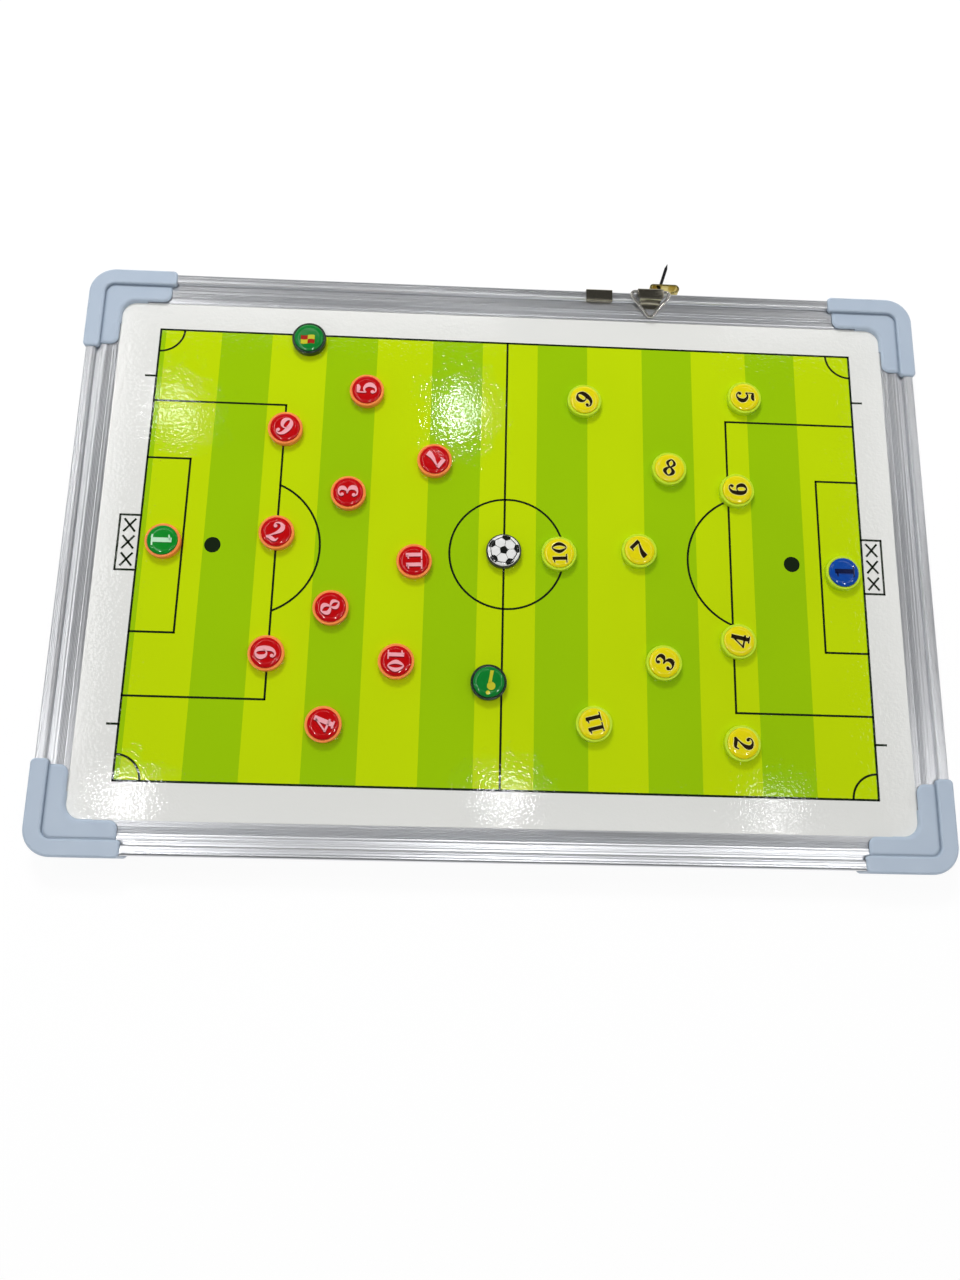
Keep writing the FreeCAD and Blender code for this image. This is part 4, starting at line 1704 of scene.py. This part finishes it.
@dataclass
class BoardFrame:
    """Rails, corner caps, screws and the hidden layers of the board, in millimetres.

    The caps get a narrow seam at the foot of the step between their raised band and their lower one. What
    cuts it reaches a little past the step and above the band. The edges are angles in degrees, above which
    an edge stays sharp.
    """

    arm_end: Point = (178.5, 108.9)
    band_top: float = 10.15
    seam_width: float = 0.9
    seam_depth: float = 0.45
    seam_past: float = 0.1
    seam_above: float = 0.2
    bend_step: int = 6
    rail_edge: float = 25.0
    cap_edge: float = 35.0
    screw_edge: float = 40.0

    def build(self) -> None:
        """Dresses the frame's solids."""
        coat("back_sheet", BACK_ZINC)
        coat("core_board", CORE_FIBRE)
        for side, finish in (("top", RAIL_X), ("bottom", RAIL_X), ("left", RAIL_Y), ("right", RAIL_Y)):
            refine_node(f"rail_{side}", finish, "frame", self.rail_edge)
        for corner, along, across in (
            ("bottom_left", -1, -1),
            ("bottom_right", 1, -1),
            ("top_right", 1, 1),
            ("top_left", -1, 1),
        ):
            cutter = self.seam_bar(along, across)
            refine_node(f"corner_cap_{corner}", CAP_ABS, "frame", self.cap_edge, cutter)
        refine_node("corner_screws", SCREW_ZINC, "frame", self.screw_edge)

    def seam_bar(self, along: int, across: int) -> Piece:
        """The bent bar that cuts the seam into a cap.

        Args:
            along: 1 for a cap at the board's right, or -1.
            across: 1 for a cap at the board's top, or -1.

        Returns:
            The bar.
        """
        outer = self.seam_edge(STEP_ROUND + self.seam_past)
        inner = self.seam_edge(STEP_ROUND - self.seam_width)
        outline = [(along * x, across * y) for x, y in outer + inner[::-1]]
        return slab(outline, self.band_top - self.seam_depth, self.band_top + self.seam_above)

    def seam_edge(self, reach: float) -> list[Point]:
        """One edge of the seam in the top right corner, from the end of one arm to the end of the other.

        Args:
            reach: how far the edge lies from the middle of the step's round.

        Returns:
            The points of the edge.
        """
        x, y = STEP_MIDDLE
        bend = [math.radians(turn) for turn in range(0, 91, self.bend_step)]
        arc = [(x + reach * math.cos(turn), y + reach * math.sin(turn)) for turn in bend]
        return [(x + reach, self.arm_end[1]), *arc, (self.arm_end[0], y + reach)]


@dataclass
class Hanger:
    """The two clips, the ring, and the picture hook with its nail.

    The edges are angles in degrees, above which an edge of strip or wire stays sharp.
    """

    strip_edge: float = 40.0
    wire_edge: float = 50.0

    def build(self) -> None:
        """Dresses the hanger's solids."""
        refine_node("hanger_clip_short", NICKEL_STRIP, "short_clip", self.strip_edge)
        refine_node("hanger_clip_long", NICKEL_STRIP, "long_clip", self.strip_edge)
        refine_node("hanger_ring", NICKEL_WIRE, "ring", self.wire_edge)
        refine_node("picture_hook", HOOK_BRASS, "picture_hook", self.strip_edge)
        refine_node("hook_nail", NAIL_STEEL, "picture_hook", self.wire_edge)


@dataclass(frozen=True)
class Lamp:
    """A ceiling lamp, in millimetres: a disc of a radius, or a strip of a width and a breadth.

    radiance is the brightness of its face, where 1 is white. A soft lamp lights, and shows in no reflection.
    """

    x: float
    y: float
    radius: float
    radiance: float
    breadth: float | None = None
    height: float = 2000.0
    soft: bool = False


KEY_LAMPS = (Lamp(-250.0, 1150.0, 260.0, 22.0, height=1100.0, soft=True),)
MIRRORED_LAMPS = (
    Lamp(-14.0, 1066.0, 38.0, 60.0),
    Lamp(-786.0, 1047.0, 38.0, 26.0),
    Lamp(-818.0, -5.0, 38.0, 45.0),
    Lamp(129.0, 16.0, 34.0, 40.0),
    Lamp(811.0, -6.0, 38.0, 18.0),
)
GLINT_LAMPS = (
    Lamp(-820.0, -420.0, 48.0, 150.0),
    Lamp(130.0, -420.0, 48.0, 150.0),
    Lamp(900.0, -420.0, 48.0, 150.0),
    Lamp(-1640.0, 0.0, 36.0, 160.0),
    Lamp(1640.0, 0.0, 36.0, 160.0),
    Lamp(1640.0, 1060.0, 36.0, 160.0),
    Lamp(-1640.0, 1060.0, 36.0, 160.0),
)
STRIP_LAMPS = (
    Lamp(-1020.0, 620.0, 160.0, 5.6, 1500.0),
    Lamp(1230.0, 620.0, 160.0, 2.4, 1500.0),
    Lamp(-470.0, -110.0, 1000.0, 0.9, 150.0),
    Lamp(690.0, -110.0, 1000.0, 1.2, 150.0),
    Lamp(-450.0, 1440.0, 1100.0, 2.8, 180.0),
    Lamp(1000.0, 1440.0, 500.0, 3.4, 180.0),
)


@dataclass
class Studio:
    """White floor, a bright band of light low all round, small ceiling lamps, and the camera.

    The eye is in millimetres and the floor's side in metres. floor_share is how much of the floor's own glow
    the camera and reflections see in place of its shade. The band is full below band_full and gone above
    band_end, where 0 is level and 1 straight up.
    """

    lens: float = 27.46
    sensor: float = 36.0
    eye: Station = (-27.0, -159.1, 490.4)
    look: Station = (0.0333, 0.2303, -0.9726)
    up: Station = (-0.0279, 0.9729, 0.2294)
    floor_side: float = 8.0
    floor_glow: float = 1.02
    floor_share: float = 0.88
    ceiling_glow: float = 0.09
    band_glow: float = 0.9
    band_full: float = 0.3
    band_end: float = 0.5

    def build(self) -> None:
        """Sets the stage, the lamps and the camera."""
        self.floor()
        self.world()
        for number, lamp in enumerate(KEY_LAMPS + MIRRORED_LAMPS + GLINT_LAMPS + STRIP_LAMPS):
            self.hang(number, lamp)
        self.camera()
        bpy.context.scene.view_settings.view_transform = "Standard"

    def floor(self) -> None:
        """A wide white floor that keeps the object's shadow."""
        deselect()
        bpy.ops.mesh.primitive_plane_add(size=self.floor_side, location=(0, 0, CAD_BOX[0].z))
        ground = bpy.context.object
        ground.name = "floor"
        paper = bpy.data.materials.new("white_floor")
        paper.use_nodes = True
        tree = paper.node_tree
        tree.nodes.clear()
        ray = add_node(tree, "ShaderNodeLightPath", {})
        seen = ray.outputs["Is Camera Ray"]
        for other in ("Is Glossy Ray", "Is Transmission Ray"):
            either = {0: seen, 1: ray.outputs[other]}
            seen = add_node(tree, "ShaderNodeMath", either, operation="MAXIMUM").outputs[0]
        share = add_node(tree, "ShaderNodeMath", {0: seen, 1: self.floor_share}, operation="MULTIPLY")
        matt = add_node(tree, "ShaderNodeBsdfDiffuse", {"Color": linear("#FFFFFF")})
        glow = add_node(
            tree, "ShaderNodeEmission", {"Color": linear("#FFFFFF"), "Strength": self.floor_glow}
        )
        blend = add_node(
            tree, "ShaderNodeMixShader", {0: share.outputs[0], 1: matt.outputs[0], 2: glow.outputs[0]}
        )
        add_node(tree, "ShaderNodeOutputMaterial", {"Surface": blend.outputs[0]})
        ground.data.materials.append(paper)

    def world(self) -> None:
        """A bright band of light low all round, and a dim ceiling between the lamps."""
        world = bpy.data.worlds.new("studio")
        bpy.context.scene.world = world
        world.use_nodes = True
        tree = world.node_tree
        tree.nodes.clear()
        way = add_node(tree, "ShaderNodeTexCoord", {})
        height = add_node(tree, "ShaderNodeSeparateXYZ", {"Vector": way.outputs["Generated"]})
        level = add_node(
            tree,
            "ShaderNodeMapRange",
            {
                "Value": height.outputs["Z"],
                "From Min": self.band_full,
                "From Max": self.band_end,
                "To Min": self.band_glow,
                "To Max": self.ceiling_glow,
            },
            interpolation_type="SMOOTHSTEP",
        )
        glow = add_node(
            tree,
            "ShaderNodeBackground",
            {"Color": linear("#FFFFFF"), "Strength": level.outputs["Result"]},
        )
        add_node(tree, "ShaderNodeOutputWorld", {"Surface": glow.outputs[0]})

    def hang(self, number: int, lamp: Lamp) -> None:
        """Hangs a lamp from the ceiling so that it points straight down.

        Args:
            number: its number, for its name.
            lamp: its place, size and brightness.
        """
        light = bpy.data.lights.new(f"ceiling_lamp_{number}", "AREA")
        if lamp.breadth is None:
            light.shape = "DISK"
            light.size = 2 * lamp.radius * MM
            area = math.pi * (lamp.radius * MM) ** 2
        else:
            light.shape = "RECTANGLE"
            light.size, light.size_y = lamp.radius * MM, lamp.breadth * MM
            area = light.size * light.size_y
        light.energy = lamp.radiance * math.pi * area
        holder = bpy.data.objects.new(light.name, light)
        holder.visible_glossy = not lamp.soft
        holder.location = Vector((lamp.x, lamp.y, lamp.height)) * MM
        bpy.context.scene.collection.objects.link(holder)

    def camera(self) -> None:
        """The camera at the photograph's place and angle."""
        data = bpy.data.cameras.new("camera")
        data.lens = self.lens
        data.sensor_width = self.sensor
        holder = bpy.data.objects.new("camera", data)
        back = -Vector(self.look).normalized()
        right = Vector(self.up).cross(back).normalized()
        turn = Matrix((right, back.cross(right), back)).transposed()
        holder.matrix_world = Matrix.Translation(Vector(self.eye) * MM) @ turn.to_4x4()
        bpy.context.scene.collection.objects.link(holder)
        bpy.context.scene.camera = holder


def main() -> None:
    """Builds every sub-assembly in order."""
    logging.basicConfig(level=logging.INFO, format="%(name)s: %(message)s")
    BoardFrame().build()
    PrintedPitch().build()
    Hanger().build()
    TokenSet().build()
    Studio().build()
    deselect()


if __name__ == "__main__":
    main()
